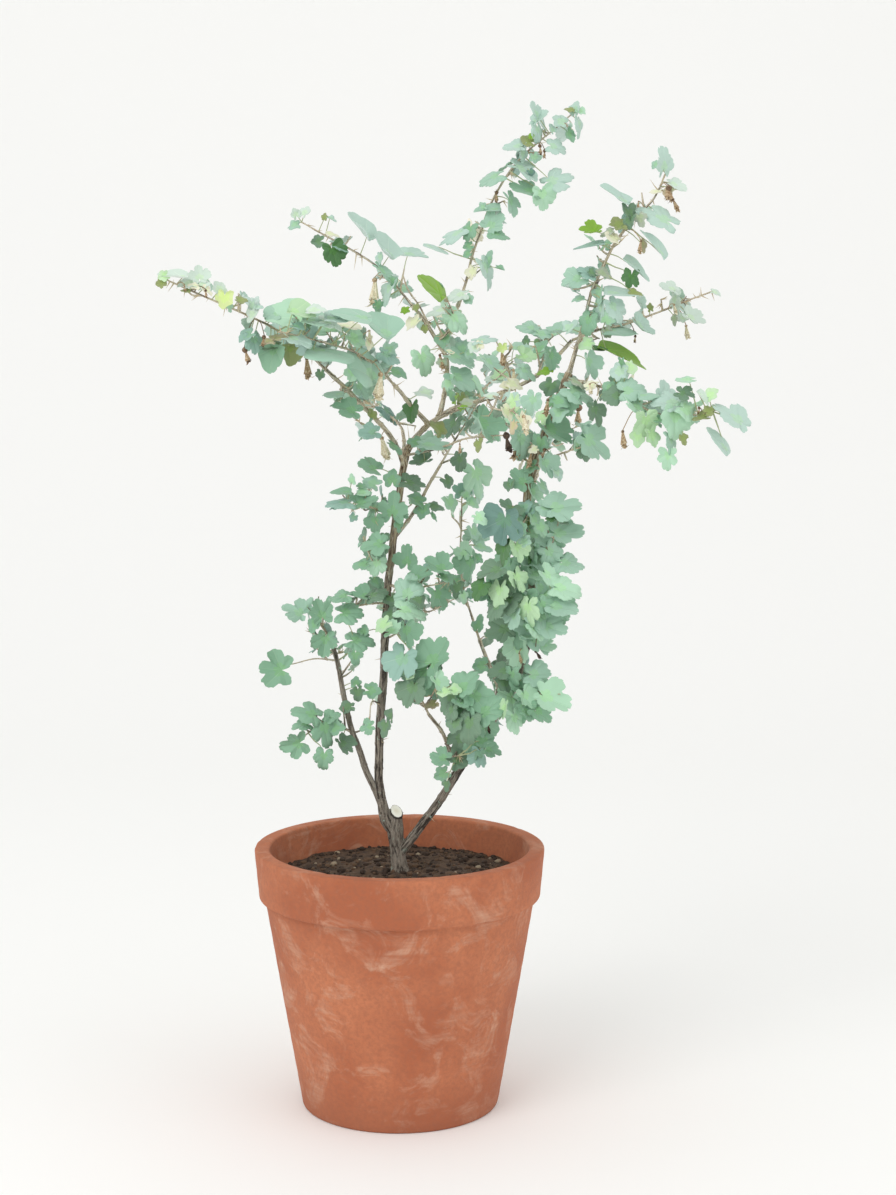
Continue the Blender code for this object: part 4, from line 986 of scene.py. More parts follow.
    (381, 602, 26, 11, 330, "fresh"), (405, 597, 20, 13, 160, "fresh"), (415, 607, 18, 10, 200, "bluish"),
    (430, 600, 46, 18, 350, "glaucous"), (414, 622, 31, 14, 197, "deep"), (349, 628, 33, 21, 165, "fresh"),
    (351, 648, 25, 19, 150, "glaucous"), (378, 642, 24, 24, 85, "fresh"), (404, 649, 34, 17, 345, "deep"),
    (447, 647, 19, 16, 310, "deep"), (326, 643, 15, 10, 90, "mint"), (312, 659, 28, 9, 182, "fresh"),
    (338, 652, 12, 8, 30, "fresh"), (341, 661, 19, 12, 350, "mint"), (305, 679, 16, 10, 215, "bluish"),
    (312, 673, 40, 20, 183, "bluish"), (343, 673, 36, 21, 10, "fresh"), (328, 692, 13, 12, 235, "bluish"),
    (390, 688, 18, 14, 340, "fresh"), (378, 678, 42, 38, 85, "fresh", "lobed"), (356, 699, 28, 24, 265, "fresh"),
    (385, 703, 17, 12, 275, "fresh"), (408, 669, 26, 16, 160, "fresh"), (433, 678, 23, 14, 350, "deep"),
    (430, 691, 15, 6, 300, "fresh"), (416, 683, 24, 22, 260, "fresh"), (368, 717, 16, 14, 55, "deep"),
    (355, 726, 38, 30, 190, "fresh", "lobed"), (338, 751, 24, 13, 190, "fresh"), (357, 753, 28, 25, 255, "mint"),
    (357, 774, 21, 17, 300, "fresh"), (397, 742, 34, 33, 85, "fresh", "lobed"), (311, 792, 31, 17, 183, "fresh"),
    (338, 792, 32, 22, 180, "fresh"), (357, 789, 32, 25, 30, "deep"), (322, 813, 38, 24, 0, "fresh"),
    (413, 768, 34, 18, 10, "fresh"), (398, 783, 42, 40, 80, "glaucous"), (412, 797, 24, 18, 330, "deep"),
    (376, 796, 16, 26, 275, "deep"), (395, 840, 38, 29, 280, "fresh"), (373, 818, 26, 20, 240, "deep"),
    (379, 835, 28, 17, 20, "mint"), (365, 829, 26, 17, 205, "lime"), (400, 811, 44, 23, 350, "mint"),
    (434, 754, 38, 28, 145, "fresh"), (444, 770, 25, 14, 330, "fresh"), (436, 793, 36, 28, 295, "fresh"),
    (459, 783, 25, 18, 260, "deep"), (468, 793, 19, 14, 285, "mint"), (468, 733, 26, 24, 90, "mint"),
    (477, 753, 42, 32, 270, "fresh"), (451, 674, 24, 16, 295, "mint"), (472, 662, 15, 12, 80, "mint"),
    (479, 675, 19, 13, 345, "mint"), (489, 693, 22, 18, 320, "mint"), (481, 711, 24, 18, 300, "glaucous"),
    (493, 730, 25, 16, 350, "glaucous"), (486, 744, 16, 12, 330, "fresh"),
    # Left stem and the shoot below it
    (254, 810, 36, 30, 155, "glaucous", "lobed"), (278, 829, 22, 18, 250, "fresh"), (286, 811, 34, 32, 105, "fresh"),
    (279, 852, 16, 12, 200, "deep"), (291, 852, 36, 34, 262, "fresh", "lobed"), (341, 835, 16, 16, 90, "fresh"),
    (330, 869, 22, 20, 270, "fresh"), (336, 849, 40, 24, 0, "fresh"), (229, 885, 44, 48, 172, "fresh", "lobed"),
    (331, 901, 15, 15, 90, "fresh"), (333, 916, 21, 20, 270, "deep"), (352, 913, 24, 22, 350, "fresh"),
    (319, 934, 21, 16, 185, "deep"), (345, 959, 21, 21, 195, "fresh", "lobed"), (376, 944, 19, 13, 72, "deep"),
    (367, 961, 25, 14, 262, "deep"), (299, 947, 26, 16, 30, "fresh"), (306, 960, 24, 20, 0, "fresh"),
    (262, 956, 28, 16, 190, "fresh"), (268, 940, 40, 26, 160, "fresh"), (292, 966, 40, 36, 280, "fresh"),
    (251, 982, 36, 35, 195, "fresh", "lobed"), (289, 1000, 29, 28, 262, "fresh"), (315, 983, 28, 24, 310, "deep"),
    # Middle shoot and the right stem's bend
    (450, 925, 40, 34, 250, "deep"), (466, 942, 44, 36, 270, "fresh"), (486, 925, 44, 38, 300, "fresh"),
    (496, 962, 36, 30, 280, "fresh"), (462, 978, 34, 28, 250, "deep"), (482, 986, 34, 26, 270, "fresh"), (415, 893, 46, 36, 240, "fresh"),
    (538, 902, 40, 34, 300, "fresh"), (556, 918, 44, 36, 330, "fresh"), (545, 938, 36, 28, 250, "fresh"), (566, 942, 34, 26, 320, "fresh"),
    (402, 914, 44, 36, 255, "deep"), (388, 878, 48, 42, 250, "bluish"), (433, 869, 54, 48, 60, "fresh"),
    (436, 905, 30, 22, 300, "mint"), (400, 888, 24, 16, 240, "lime"), (427, 930, 20, 13, 205, "tan"),
    (452, 941, 32, 24, 260, "deep"), (457, 956, 26, 20, 250, "deep"), (490, 951, 30, 22, 300, "deep"), (489, 881, 22, 21, 187, "fresh"), (472, 903, 40, 36, 60, "fresh"),
    (500, 935, 46, 40, 50, "fresh"), (474, 960, 44, 36, 260, "deep"), (443, 914, 20, 15, 190, "spring"),
    (458, 912, 17, 17, 0, "lime"), (468, 927, 30, 20, 335, "fresh"), (495, 975, 26, 20, 20, "fresh"),
    (489, 998, 27, 22, 265, "bluish"), (504, 990, 27, 20, 345, "fresh"), (438, 998, 28, 20, 165, "fresh"),
    (464, 1002, 32, 27, 30, "deep"), (440, 1020, 22, 21, 205, "fresh"), (446, 1035, 16, 13, 265, "deep"),
    (580, 924, 52, 42, 335, "mint", "lobed"), (549, 942, 21, 11, 320, "fresh"), (534, 952, 34, 28, 280, "mint"), (519, 937, 28, 11, 255, "lime"),
    (548, 922, 32, 24, 300, "mint"), (562, 892, 36, 32, 355, "glaucous"), (521, 903, 26, 20, 300, "deep"),
    (514, 888, 32, 22, 190, "deep"), (530, 895, 28, 24, 270, "fresh"), (520, 867, 25, 12, 262, "deep"),
    (573, 855, 28, 18, 340, "mint"), (538, 862, 48, 34, 270, "mint"), (487, 826, 24, 15, 80, "fresh"),
    # Right side, from the top down
    (552, 690, 40, 30, 300, "fresh"), (560, 716, 44, 34, 330, "glaucous"), (548, 742, 40, 34, 260, "fresh"),
    (566, 748, 46, 36, 340, "glaucous"), (545, 772, 42, 34, 280, "fresh"), (572, 790, 46, 36, 310, "mint"), (548, 802, 44, 36, 270, "fresh"),
    (570, 820, 46, 36, 330, "glaucous"), (540, 838, 44, 36, 260, "fresh"), (562, 852, 40, 28, 310, "glaucous"), (520, 800, 40, 34, 240, "deep"),
    (522, 752, 38, 30, 240, "fresh"), (556, 662, 30, 18, 300, "mint"), (539, 643, 32, 26, 140, "fresh"), (527, 651, 18, 11, 245, "deep"),
    (568, 653, 24, 13, 300, "glaucous"), (545, 677, 21, 15, 80, "bluish"), (576, 680, 34, 26, 340, "glaucous"),
    (593, 678, 50, 38, 12, "glaucous", "lobed"), (549, 697, 15, 11, 60, "olive"), (520, 701, 54, 50, 262, "slate", "lobed"),
    (553, 683, 16, 13, 250, "bluish"), (541, 706, 18, 14, 300, "fresh"), (558, 697, 26, 16, 290, "mint"),
    (597, 713, 48, 32, 350, "glaucous", "lobed"), (592, 697, 20, 9, 330, "deep"), (566, 706, 24, 20, 285, "mint"), (580, 693, 18, 10, 180, "dark"), (579, 739, 34, 28, 305, "glaucous"),
    (602, 750, 40, 24, 350, "glaucous"), (553, 748, 18, 14, 280, "dark"), (526, 760, 32, 24, 250, "fresh"), (564, 764, 34, 20, 350, "mint"), (565, 783, 22, 18, 280, "glaucous"), (557, 733, 30, 18, 280, "deep"),
    (518, 735, 38, 18, 250, "dark"), (536, 733, 34, 26, 290, "lime", "lobed"), (546, 721, 18, 14, 50, "glaucous"), (577, 768, 36, 28, 320, "mint"),
    (597, 782, 44, 28, 350, "mint"), (592, 806, 46, 27, 0, "glaucous"), (503, 761, 40, 28, 200, "deep"),
    (488, 783, 32, 20, 235, "dark"), (528, 778, 30, 22, 270, "deep"), (537, 771, 34, 28, 290, "lime", "lobed"),
    (508, 808, 34, 24, 235, "deep"), (513, 789, 38, 28, 268, "lime"), (514, 836, 38, 34, 200, "deep"),
    (531, 820, 30, 22, 260, "glaucous"), (580, 833, 42, 32, 320, "glaucous"), (570, 806, 30, 26, 300, "fresh"),
    (550, 812, 40, 34, 270, "lime", "lobed"), (560, 836, 30, 20, 300, "mint"),
)
# Withered flowers with a place of their own: where the berry hangs, how long they look, and their tone
ownDryFlowers = (
    (192, 480, 22, "brown"), (216, 464, 16, "brown"), (116, 400, 12, "tan"), (143, 406, 12, "brown"),
    (270, 494, 32, "tan"), (363, 514, 42, "cream"), (365, 594, 36, "cream"), (356, 396, 40, "cream"),
    (349, 458, 18, "cream"), (516, 484, 24, "tan"), (531, 508, 26, "cream"), (544, 566, 28, "cream"),
    (522, 588, 28, "dark"), (570, 606, 14, "brown"), (553, 612, 24, "tan"), (613, 553, 30, "brown"),
    (627, 525, 16, "cream"), (669, 585, 26, "tan"), (725, 278, 22, "brown"), (731, 294, 20, "tan"),
    (690, 346, 20, "tan"), (687, 296, 10, "tan"), (748, 452, 22, "cream"), (748, 428, 10, "dark"),
    (733, 425, 16, "cream"), (563, 226, 14, "brown"), (569, 232, 12, "brown"), (509, 284, 16, "brown"), (723, 279, 20, "tan"), (438, 489, 24, "tan"), (560, 862, 14, "dark"), (515, 914, 22, "dark"),
    (463, 600, 14, "tan"), (539, 866, 16, "tan"), (574, 545, 24, "tan"), (684, 463, 10, "brown"),
    (765, 553, 10, "brown"), (499, 956, 14, "dark"),
)
# Spines with a place of their own: the foot, which way they point, and how long they look
ownSpines = (
    (114, 404, 262, 12), (190, 477, 140, 8), (305, 520, 33, 16), (305, 520, 215, 8), (377, 526, 275, 17),
    (380, 528, 30, 14), (358, 566, 25, 11), (399, 601, 97, 27), (328, 364, 262, 22), (326, 356, 20, 8),
    (388, 418, 238, 15), (358, 413, 195, 13), (374, 376, 320, 10), (474, 354, 178, 12), (472, 399, 130, 10),
    (472, 405, 350, 14), (437, 482, 220, 12), (437, 471, 215, 11), (489, 285, 165, 9), (490, 295, 182, 13),
    (521, 272, 120, 9), (707, 281, 127, 18), (765, 412, 95, 11), (764, 412, 335, 11), (693, 435, 165, 13),
    (748, 428, 0, 8), (650, 518, 118, 15), (537, 533, 270, 18), (523, 787, 25, 12), (486, 838, 140, 10),
    (366, 869, 190, 13), (362, 700, 200, 9), (478, 780, 20, 10), (600, 480, 150, 10), (322, 918, 160, 8),
    (452, 965, 150, 8), (436, 958, 60, 8), (455, 558, 240, 9), (498, 545, 250, 14), (480, 592, 30, 9),
)


class Viewer:  # where the viewer stands, and the grid through which the plant is seen
    eye = Vector((0.045, -2.0, 0.725))
    pitch = math.radians(3.0076)
    forward = Vector((0, math.cos(pitch), -math.sin(pitch)))
    upward = Vector((0, math.sin(pitch), math.cos(pitch)))
    steps = 2777.8  # steps of the grid for each unit of depth
    middle = (448, 597.5)
    stepSize = 0.72 * mm  # at the trunk

    def line(self, across, down):
        aim = self.forward + Vector((1, 0, 0)) * (across - self.middle[0]) / self.steps
        return (aim + self.upward * (self.middle[1] - down) / self.steps).normalized()

    def seen(self, point):  # across, down and how far away
        away = point - self.eye
        depth = away.dot(self.forward)
        return (self.middle[0] + self.steps * away.x / depth,
                self.middle[1] - self.steps * away.dot(self.upward) / depth, depth)

    def heading(self, turn):  # a direction that looks turned by some degrees from the right
        angle = math.radians(turn)
        return Vector((1, 0, 0)) * math.cos(angle) + self.upward * math.sin(angle)


viewer = Viewer()


def inOval(aside, below, long, wide, turn):
    # Whether a place beside and below the middle of a leaf lies within the oval that the leaf fills
    ahead = aside * math.cos(turn) - below * math.sin(turn)
    beside = aside * math.sin(turn) + below * math.cos(turn)
    return (ahead * 2 / long) ** 2 + (beside * 2 / wide) ** 2 < 1


class Screen:  # what the leaves with a place of their own hide from the viewer, square by square of the grid
    square = 4

    def __init__(self):
        self.near = {}

    def squareOf(self, across, down):
        return int(across // self.square), int(down // self.square)

    def hide(self, across, down, long, wide, tip, depth):
        turn = math.radians(tip)
        reach = int(max(long, wide) / 2 / self.square) + 1
        column, row = self.squareOf(across, down)
        for x in range(column - reach, column + reach + 1):
            for y in range(row - reach, row + reach + 1):
                aside, below = (x + 0.5) * self.square - across, (y + 0.5) * self.square - down
                if inOval(aside, below, long, wide, turn):
                    self.near[x, y] = min(depth, self.near.get((x, y), depth))

    def hides(self, points):
        # Whether most of some points lie behind those leaves
        behind = 0
        for point in points:
            across, down, depth = viewer.seen(point)
            behind += depth > self.near.get(self.squareOf(across, down), 9) + 1.5 * mm
        return behind >= 0.8 * len(points)


class Foliage:  # gathers leaves, stalks, twigs, spines and dry flowers, and keeps leaves off the wood
    def __init__(self, wood, stems):
        self.leaves = {region: Heap() for region in ("Low", "Middle", "Upper", "High")}
        self.stalks, self.twigs, self.spines, self.dry = Heap(), Heap(), Heap(), Heap()
        self.placed = {}
        self.screen = Screen()
        self.own = []
        self.nodes = {region: [] for region in self.leaves}
        self.samples = []
        for path in [*wood.values(), *stems.values()]:
            line, radii = resampled(path, 4 * mm)
            self.samples += list(zip(line, radii))
        self.tree = kdtree.KDTree(len(self.samples))
        for index, (point, _) in enumerate(self.samples):
            self.tree.insert(point, index)
        self.tree.balance()
        self.thick = [(*viewer.seen(point), radius) for point, radius in self.samples if radius > 3 * mm]
        self.count = 0

    def hitsWood(self, centre, up, width, root):
        for point, index, away in self.tree.find_range(centre, width * 0.5):
            if (point - root).length < 6 * mm:
                continue
            if abs((point - centre).dot(up)) < self.samples[index][1] + 0.6 * mm:
                return True
        return False

    def crowded(self, centre, width):
        cell = tuple(int(c // 0.03) for c in centre)
        for x in (-1, 0, 1):
            for y in (-1, 0, 1):
                for z in (-1, 0, 1):
                    for other, size in self.placed.get((cell[0] + x, cell[1] + y, cell[2] + z), ()):
                        if (other - centre).length < growthRule["closest"] * (size + width):
                            return True
        return False

    def region(self, height):
        return "Low" if height < 0.45 else "Middle" if height < 0.56 else "Upper" if height < 0.68 else "High"

    def leaf(self, draw, root, direction, facing, stalk, width, tint):
        for turn in (0, 0.9, -0.9, 1.8, -1.8):
            aim = turnedAbout(direction, facing, turn)
            base = root + aim * stalk
            across = aim.cross(facing).normalized()
            up = (facing - facing.dot(aim) * aim * 0.5).normalized()
            along = up.cross(across).normalized()
            centre = base + along * width * 0.38
            if self.hitsWood(centre, up, width, root):
                continue
            rim = [base, centre, base + along * width * 0.75]
            rim += [centre + across * width * 0.45, centre - across * width * 0.45]
            if self.crowded(centre, width) or not self.screen.hides(rim):
                return False
            self.keep(draw, root, base, along, up, width, tint, pickForm(draw, width))
            return True
        return False

    def keep(self, draw, root, base, along, up, width, tint, form, stretch=1.0, bend=1.0, back=0.0):
        centre = base + along * width * 0.38
        self.placed.setdefault(tuple(int(c // 0.03) for c in centre), []).append((centre, width))
        placeLeaf(self.leaves[self.region(centre.z)], base, along, up, width, tint, form, stretch, bend)
        middle = root.lerp(base, 0.55) + (sky * 0.08 + Vector((0, back, 0))) * (base - root).length
        line = throughPoints([root, middle, base + along * width * 0.02 - up * 0.3 * mm], 2)
        thick, thin = growthRule["stalkThick"], growthRule["stalkThin"]
        self.stalks.add(*tube(line, [thick + (thin - thick) * n / (len(line) - 1) for n in range(len(line))], 5))
        self.count += 1

    def tuft(self, draw, root, direction, facing, stalk, width, tint, more):
        # A leaf and the smaller ones that share its bud
        width *= growthRule["leafScale"]
        self.leaf(draw, root, direction, facing, stalk, width, tint)
        for _ in range(int(more) + (draw.random() < more % 1)):
            aim = turnedAbout(direction, facing, draw.choice((-1, 1)) * draw.uniform(0.7, 1.9))
            aim = (aim + scatter(draw, 0.25)).normalized()
            look = (facing + scatter(draw, 0.3)).normalized()
            small = width * draw.uniform(*growthRule["tuftWidth"])
            if abs(aim.dot(look)) > 0.93:
                continue
            own = tint if draw.random() < 0.75 else tintFor(draw, root)
            self.leaf(draw, root, aim, look, stalk * draw.uniform(0.5, 1.1), small, own)

    def fillDepth(self, draw, stem, spec):
        # Twigs behind a stem, with leaves turned to the sides and the back, so that the crown has depth
        count = int(stem.length / growthRule["depthEvery"])
        for n in range(count):
            root, forward = stem.at((n + draw.random()) / count)
            aim = Vector((draw.gauss(0, 0.35), 1, draw.uniform(-0.2, 0.5))).normalized()
            end = root + aim * draw.uniform(*growthRule["depthReach"])
            side = draw.choice((-1, 1))
            grown = 0
            for share in (0.55, 0.8, 1.0, 1.0):
                look = (Vector((side * 0.8, draw.uniform(0, 0.7), 0.5)) + scatter(draw, 0.25)).normalized()
                heading = turnedAbout(aim, look, draw.uniform(-1.9, 1.9))
                heading = (heading - look * heading.dot(look)).normalized()
                width = sum(spec["width"]) / 2 * draw.uniform(0.55, 1.0) * mm
                foot = root.lerp(end, share)
                grown += self.leaf(draw, foot, heading, look, width * 0.25, width, tintFor(draw, end))
                side = -side
            if grown:
                self.twig(draw, root, end)

    def nearestSeen(self, aim):
        # The point of the wood that passes closest to a sight line, and how far along the line it lies
        best = min(self.samples, key=lambda item: (item[0] - viewer.eye).cross(aim).length - item[1])
        return best[0], (best[0] - viewer.eye).dot(aim) - best[1]

    def leafSeen(self, draw, across, down, long, wide, tip, tint, kind=None):
        # One leaf with a place of its own, tilted so that it looks as long and as wide as given
        aim = viewer.line(across, down)
        depth = self.nearestSeen(aim)[1] - growthRule["ownNearer"]
        for x, y, far, radius in self.thick:
            if inOval(x - across, y - down, long * 0.75, wide * 0.75, math.radians(tip)):
                depth = min(depth, far - radius - growthRule["ownNearer"] * 0.6)
        for x, y, size, other in self.own:
            if math.hypot(across - x, down - y) < growthRule["ownOverlap"] * (size + long + wide):
                depth = min(depth, other - growthRule["ownStep"])
        self.own.append((across, down, long + wide, depth))
        self.screen.hide(across, down, long, wide, tip, depth)
        step = depth / viewer.steps
        form = pickForm(draw, max(long, wide) * step, kind or ("smooth" if not 0.33 < long / wide < 2.9 else None))
        plain = form.high - form.low  # its length, a unit wide
        most = 2.0 if not 0.4 < long / wide < 2.5 else 1.2
        stretch = min(max(long / wide / plain, 1 / most), most)
        plain *= stretch
        width = max(wide, long / plain) * step
        heading, side = viewer.heading(tip), viewer.heading(tip + 90)
        if long < wide * plain:
            flat, lean = long / (wide * plain), heading if heading.z > 0 else -heading
        else:
            flat, lean = wide * plain / long, side if side.z > 0 else -side
        flat = max(flat, 0.1)
        up = -aim * flat + lean * math.sqrt(1 - flat * flat) + scatter(draw, 0.16 * flat)
        up.normalize()
        along = up.cross(heading.cross(up)).normalized()
        centre = viewer.eye + aim * depth
        base = centre - along * (form.low + form.high) / 2 * stretch * width
        root = self.tree.find(base)[0]
        if (base - root).length > 24 * mm:
            end = root.lerp(base, 0.4)
            self.stalks.add(*tube([root, end], [growthRule["twigThin"] * 1.2, growthRule["twigThin"]], 6))
            root = end
        self.keep(draw, root, base, along, up, width, tint, form, stretch, min(1, 0.3 + 1.4 * flat), 0.35)

    def twig(self, draw, root, end):
        thick, thin = growthRule["twigThick"], growthRule["twigThin"]
        side = (end - root).orthogonal().normalized() * (end - root).length
        middle = root.lerp(end, 0.5) + side * draw.uniform(-0.06, 0.06) - sky * (end - root).length * 0.04
        line = throughPoints([root, middle, end], 4)
        radii = [(thick + (thin - thick) * n / (len(line) - 1)) * draw.uniform(0.92, 1.1) for n in range(len(line))]
        points, faces, grain = tube(line, radii, 6, None, True)
        shift = scatter(draw, 1)
        self.twigs.add(points, faces, 0, [place + shift for place in grain])

    def spine(self, draw, root, direction, length, thick=None):
        thick = thick or growthRule["spineThick"]
        tip = root + direction * length
        middle = root.lerp(tip, 0.45) + sky * draw.uniform(-0.04, 0.02) * length
        self.spines.add(*tube([root, middle, tip], [thick, thick * 0.55, thick * 0.08], 5))

    def spinesAt(self, draw, root, forward, chance):
        # One to three spines below a bud
        if draw.random() > chance:
            return
        out = turnedAbout(forward.orthogonal().normalized(), forward, draw.uniform(0, math.tau))
        spread = draw.uniform(0.4, 0.7)
        for turn in draw.choice(((0,), (0,), (-spread, spread), (-spread, 0, spread))):
            aim = (turnedAbout(out, forward, turn) + forward * draw.uniform(-0.1, 0.3)).normalized()
            self.spine(draw, root, aim, growthRule["spineLength"] * draw.uniform(0.6, 1.2))

    def bristles(self, draw, path):
        count = int(path.length / growthRule["bristleEvery"])
        for n in range(count):
            root, forward = path.at((n + draw.random()) / count)
            out = turnedAbout(forward.orthogonal().normalized(), forward, draw.uniform(0, math.tau))
            self.spine(draw, root, (out + forward * 0.2).normalized(), draw.uniform(2.2, 4.2) * mm, 0.35 * mm)

    def dryFlower(self, draw, root, length, tone, lean=None):
        # A withered flower: a bristly berry, a pleated papery tube, sepals turned back and the petals below them.
        # Brown and dark ones are mostly berry, cream and tan ones mostly tube
        lean = lean or Vector((draw.uniform(-0.5, 0.5), draw.uniform(-0.5, 0.5), -1)).normalized()
        unit = length / 16
        stalk, berry, tubeTone, sepals = dryTones[tone]
        ripe = tone in ("brown", "dark")
        plump = draw.uniform(2.3, 2.8) if ripe else draw.uniform(1.1, 1.4)
        bend = (lean + scatter(draw, 0.18)).normalized()
        pleats, start = draw.choice((5, 6, 7)), draw.uniform(0, math.tau)

        def lumpy(along, angle, radius):
            return 0.10 * radius * math.sin(angle * 5 + start)

        def pleated(along, angle, radius):
            return radius * 0.24 * math.sin(angle * pleats + start + along * 60)

        line = [root + lean * t * plump * unit for t in (0, 0.25, 0.7, 1.2, 1.7, 2.0)]
        self.dry.add(*tube(line, [r * plump * unit for r in (0.25, 0.66, 0.97, 1.0, 0.72, 0.4)], 12, lumpy), berry)
        reach = 16 - 2 * plump
        neck = [line[-1] + bend * t * reach * unit for t in (-0.04, 0.10, 0.26, 0.44, 0.60)]
        points, faces = tube(neck, [r * unit for r in (0.7, 1.0, 1.35, 1.8, 2.35)], 22, pleated)
        for n in range(22):
            points[-1 - n] = points[-1 - n] + bend * draw.uniform(-0.9, 1.5) * unit
        self.dry.add(points, faces, tubeTone)
        inner = [neck[-2] + bend * t * reach * unit for t in (0, 0.16, 0.30)]
        self.dry.add(*tube(inner, [r * unit for r in (1.0, 1.2, 1.7)], 18, pleated), sepals if not ripe else tubeTone)
        side = lean.orthogonal().normalized()
        for n in range(5):
            aim = turnedAbout(side, lean, math.tau * n / 5 + draw.uniform(-0.4, 0.4))
            self.sepal(draw, neck[-1], bend, aim, unit, sepals if draw.random() < 0.7 else tubeTone)
        style = [inner[-2], inner[-1] + bend * draw.uniform(1, 3) * unit]
        self.dry.add(*tube(style, [0.35 * unit, 0.2 * unit], 5), stalk)
        for _ in range(14):
            out = scatter(draw, 1).normalized()
            foot = line[3] + out * 0.92 * plump * unit
            self.dry.add(*tube([foot, foot + out * 0.9 * unit], [0.15 * mm, 0.05 * mm], 3), stalk)

    def dryFlowerSeen(self, draw, across, down, length, tone):
        # Hangs a withered flower so that its berry is at a place of the viewer's grid
        aim = viewer.line(across, down)
        near = self.screen.near.get(self.screen.squareOf(across, down), 9)
        depth = min(self.nearestSeen(aim)[1] - 5 * mm, near - 7 * mm)
        spot = viewer.eye + aim * depth
        length *= depth / viewer.steps
        lean = Vector((draw.gauss(0, 0.2), -0.12, -1)).normalized()
        top = spot - lean * length * 0.15
        root = self.tree.find(top)[0]
        middle = root.lerp(top, 0.5) + sky * (top - root).length * 0.15
        self.dry.add(*tube(throughPoints([root, middle, top], 3), [0.4 * mm] * 7, 5), dryTones[tone][0])
        self.dryFlower(draw, top, length, tone, lean)

    def berry(self, draw, root):
        # A withered flower of the source's rule, where leaves hide it from the viewer
        length = draw.uniform(16, 24) * mm
        if self.screen.hides([root, root - sky * length]):
            self.dryFlower(draw, root, length, draw.choice(list(dryTones)))

    def spineSeen(self, draw, across, down, turn, length):
        foot, depth = self.nearestSeen(viewer.line(across, down))
        aim = (viewer.heading(turn) + Vector((0, draw.uniform(-0.2, 0.1), 0))).normalized()
        self.spine(draw, foot, aim, length * depth / viewer.steps)

    def sepal(self, draw, foot, lean, aim, unit, slot):
        # A crumpled strip that flares, some of them turned back
        long = draw.uniform(3.2, 6.4) * unit
        wide = draw.uniform(0.9, 1.7) * unit
        curl = draw.uniform(0.6, 2.8)
        across = lean.cross(aim).normalized()
        points = []
        steps = 6
        centre = foot + aim * 0.6 * unit
        for n in range(steps + 1):
            t = n / steps
            turn = curl * t
            half = wide * (0.45 + 0.75 * math.sin(math.pi * min(t + 0.12, 1))) * (1 if n < steps else 0.35)
            out = (aim * math.cos(turn) + lean * math.sin(turn) * -1) * 0.14 * mm
            ripple = aim * math.sin(t * 9 + curl * 7) * 0.15 * unit
            points += [centre + across * half + ripple, centre + out, centre - across * half + ripple * 0.5,
                       centre - out]
            centre = centre + (lean * math.cos(turn) + aim * math.sin(turn)) * long / steps
        faces = [(0, 1, 2, 3), tuple(n + steps * 4 for n in (3, 2, 1, 0))]
        for n in range(steps):
            for c in range(4):
                after = (c + 1) % 4
                faces.append((n * 4 + after, n * 4 + c, (n + 1) * 4 + c, (n + 1) * 4 + after))
        self.dry.add(points, faces, slot)


def dryFinish(name, colour, darker):  # papery, with darker flecks
    finish = Finish(name, colour, 0.85)
    where = finish.place()
    flecks = finish.cloud(where, 700, 3, 0.6)
    finish.colour(finish.mix(finish.steps(flecks, ((0.44, 1), (0.62, 0))), solid(colour), solid(darker)))
    finish.relief(flecks, 0.4 * mm, 0.8)
    return finish


def growFoliage(wood, stems):
    foliage = Foliage(wood, stems)
    draw = random.Random("own leaves")
    for leaf in ownLeaves:
        foliage.leafSeen(draw, *leaf)
    for flower in ownDryFlowers:
        foliage.dryFlowerSeen(draw, *flower)
    for spine in ownSpines:
        foliage.spineSeen(draw, *spine)
    for name, stem in stems.items():
        draw = random.Random(name + " scene")
        for sprig in growth(name, stem, limbs[name]):
            tint = tintFor(draw, sprig[0][1])
            for kind, *shape in sprig:
                if kind == "twig":
                    foliage.twig(draw, *shape)
                    foliage.spinesAt(draw, shape[0], stem.at(0.5)[1], 0.8)
                elif kind == "leaf":
                    root, direction, facing, stalk, width = shape
                    foliage.tuft(draw, root, direction, facing, stalk, width, tint, growthRule["tuft"])
                    foliage.spinesAt(draw, root, direction, 0.4)
                else:
                    foliage.berry(draw, shape[0])
        foliage.fillDepth(random.Random(name + " depth"), stem, limbs[name])
        foliage.bristles(draw, stem)
        foliage.nodes[foliage.region(stem.at(0.5)[0].z)].append(name + "_leaves")
    for name, path in wood.items():
        if name == "trunk":
            continue
        draw = random.Random(name + " spines")
        count = int(path.length / (24 * mm))
        for n in range(1, count):
            root, forward = path.at(n / count)
            foliage.spinesAt(draw, root, forward, 0.35)
    print("  leaves:", foliage.count)
    return foliage


# The pot and its soil

potSizes = dict(
    height=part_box("pot")[1].z, footRadius=92 * mm, mouthRadius=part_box("pot")[1].x, wall=9 * mm, floor=13 * mm,
    edge=2.5 * mm, rimHeight=46 * mm, rimProud=5 * mm, rimTaper=4 * mm, steps=144, holes=3, holeRadius=7 * mm,
    holeCircle=48 * mm, chip=0.9 * mm,
    clay=paint(196, 122, 86), burnt=paint(172, 98, 66), bloom=paint(214, 176, 150), damp=paint(150, 90, 64),
)
soilSizes = dict(
    top=220 * mm, dip=4 * mm, clods=2.2 * mm, crumbs=1000,
    dark=paint(58, 44, 34), brown=paint(92, 70, 52), grit=paint(150, 134, 112),
)


def rounded(corners, radius, parts=4):
    # The corners of a turned profile, each cut by a short arc
    points = []
    for n, corner in enumerate(corners):
        if n in (0, len(corners) - 1):
            points.append(Vector(corner))
            continue
        here = Vector(corner)
        before = (Vector(corners[n - 1]) - here)
        after = (Vector(corners[n + 1]) - here)
        reach = min(radius, before.length * 0.45, after.length * 0.45)
        one, two = here + before.normalized() * reach, here + after.normalized() * reach
        for part in range(parts + 1):
            t = part / parts
            points.append(one * (1 - t) ** 2 + here * 2 * t * (1 - t) + two * t * t)
    return points


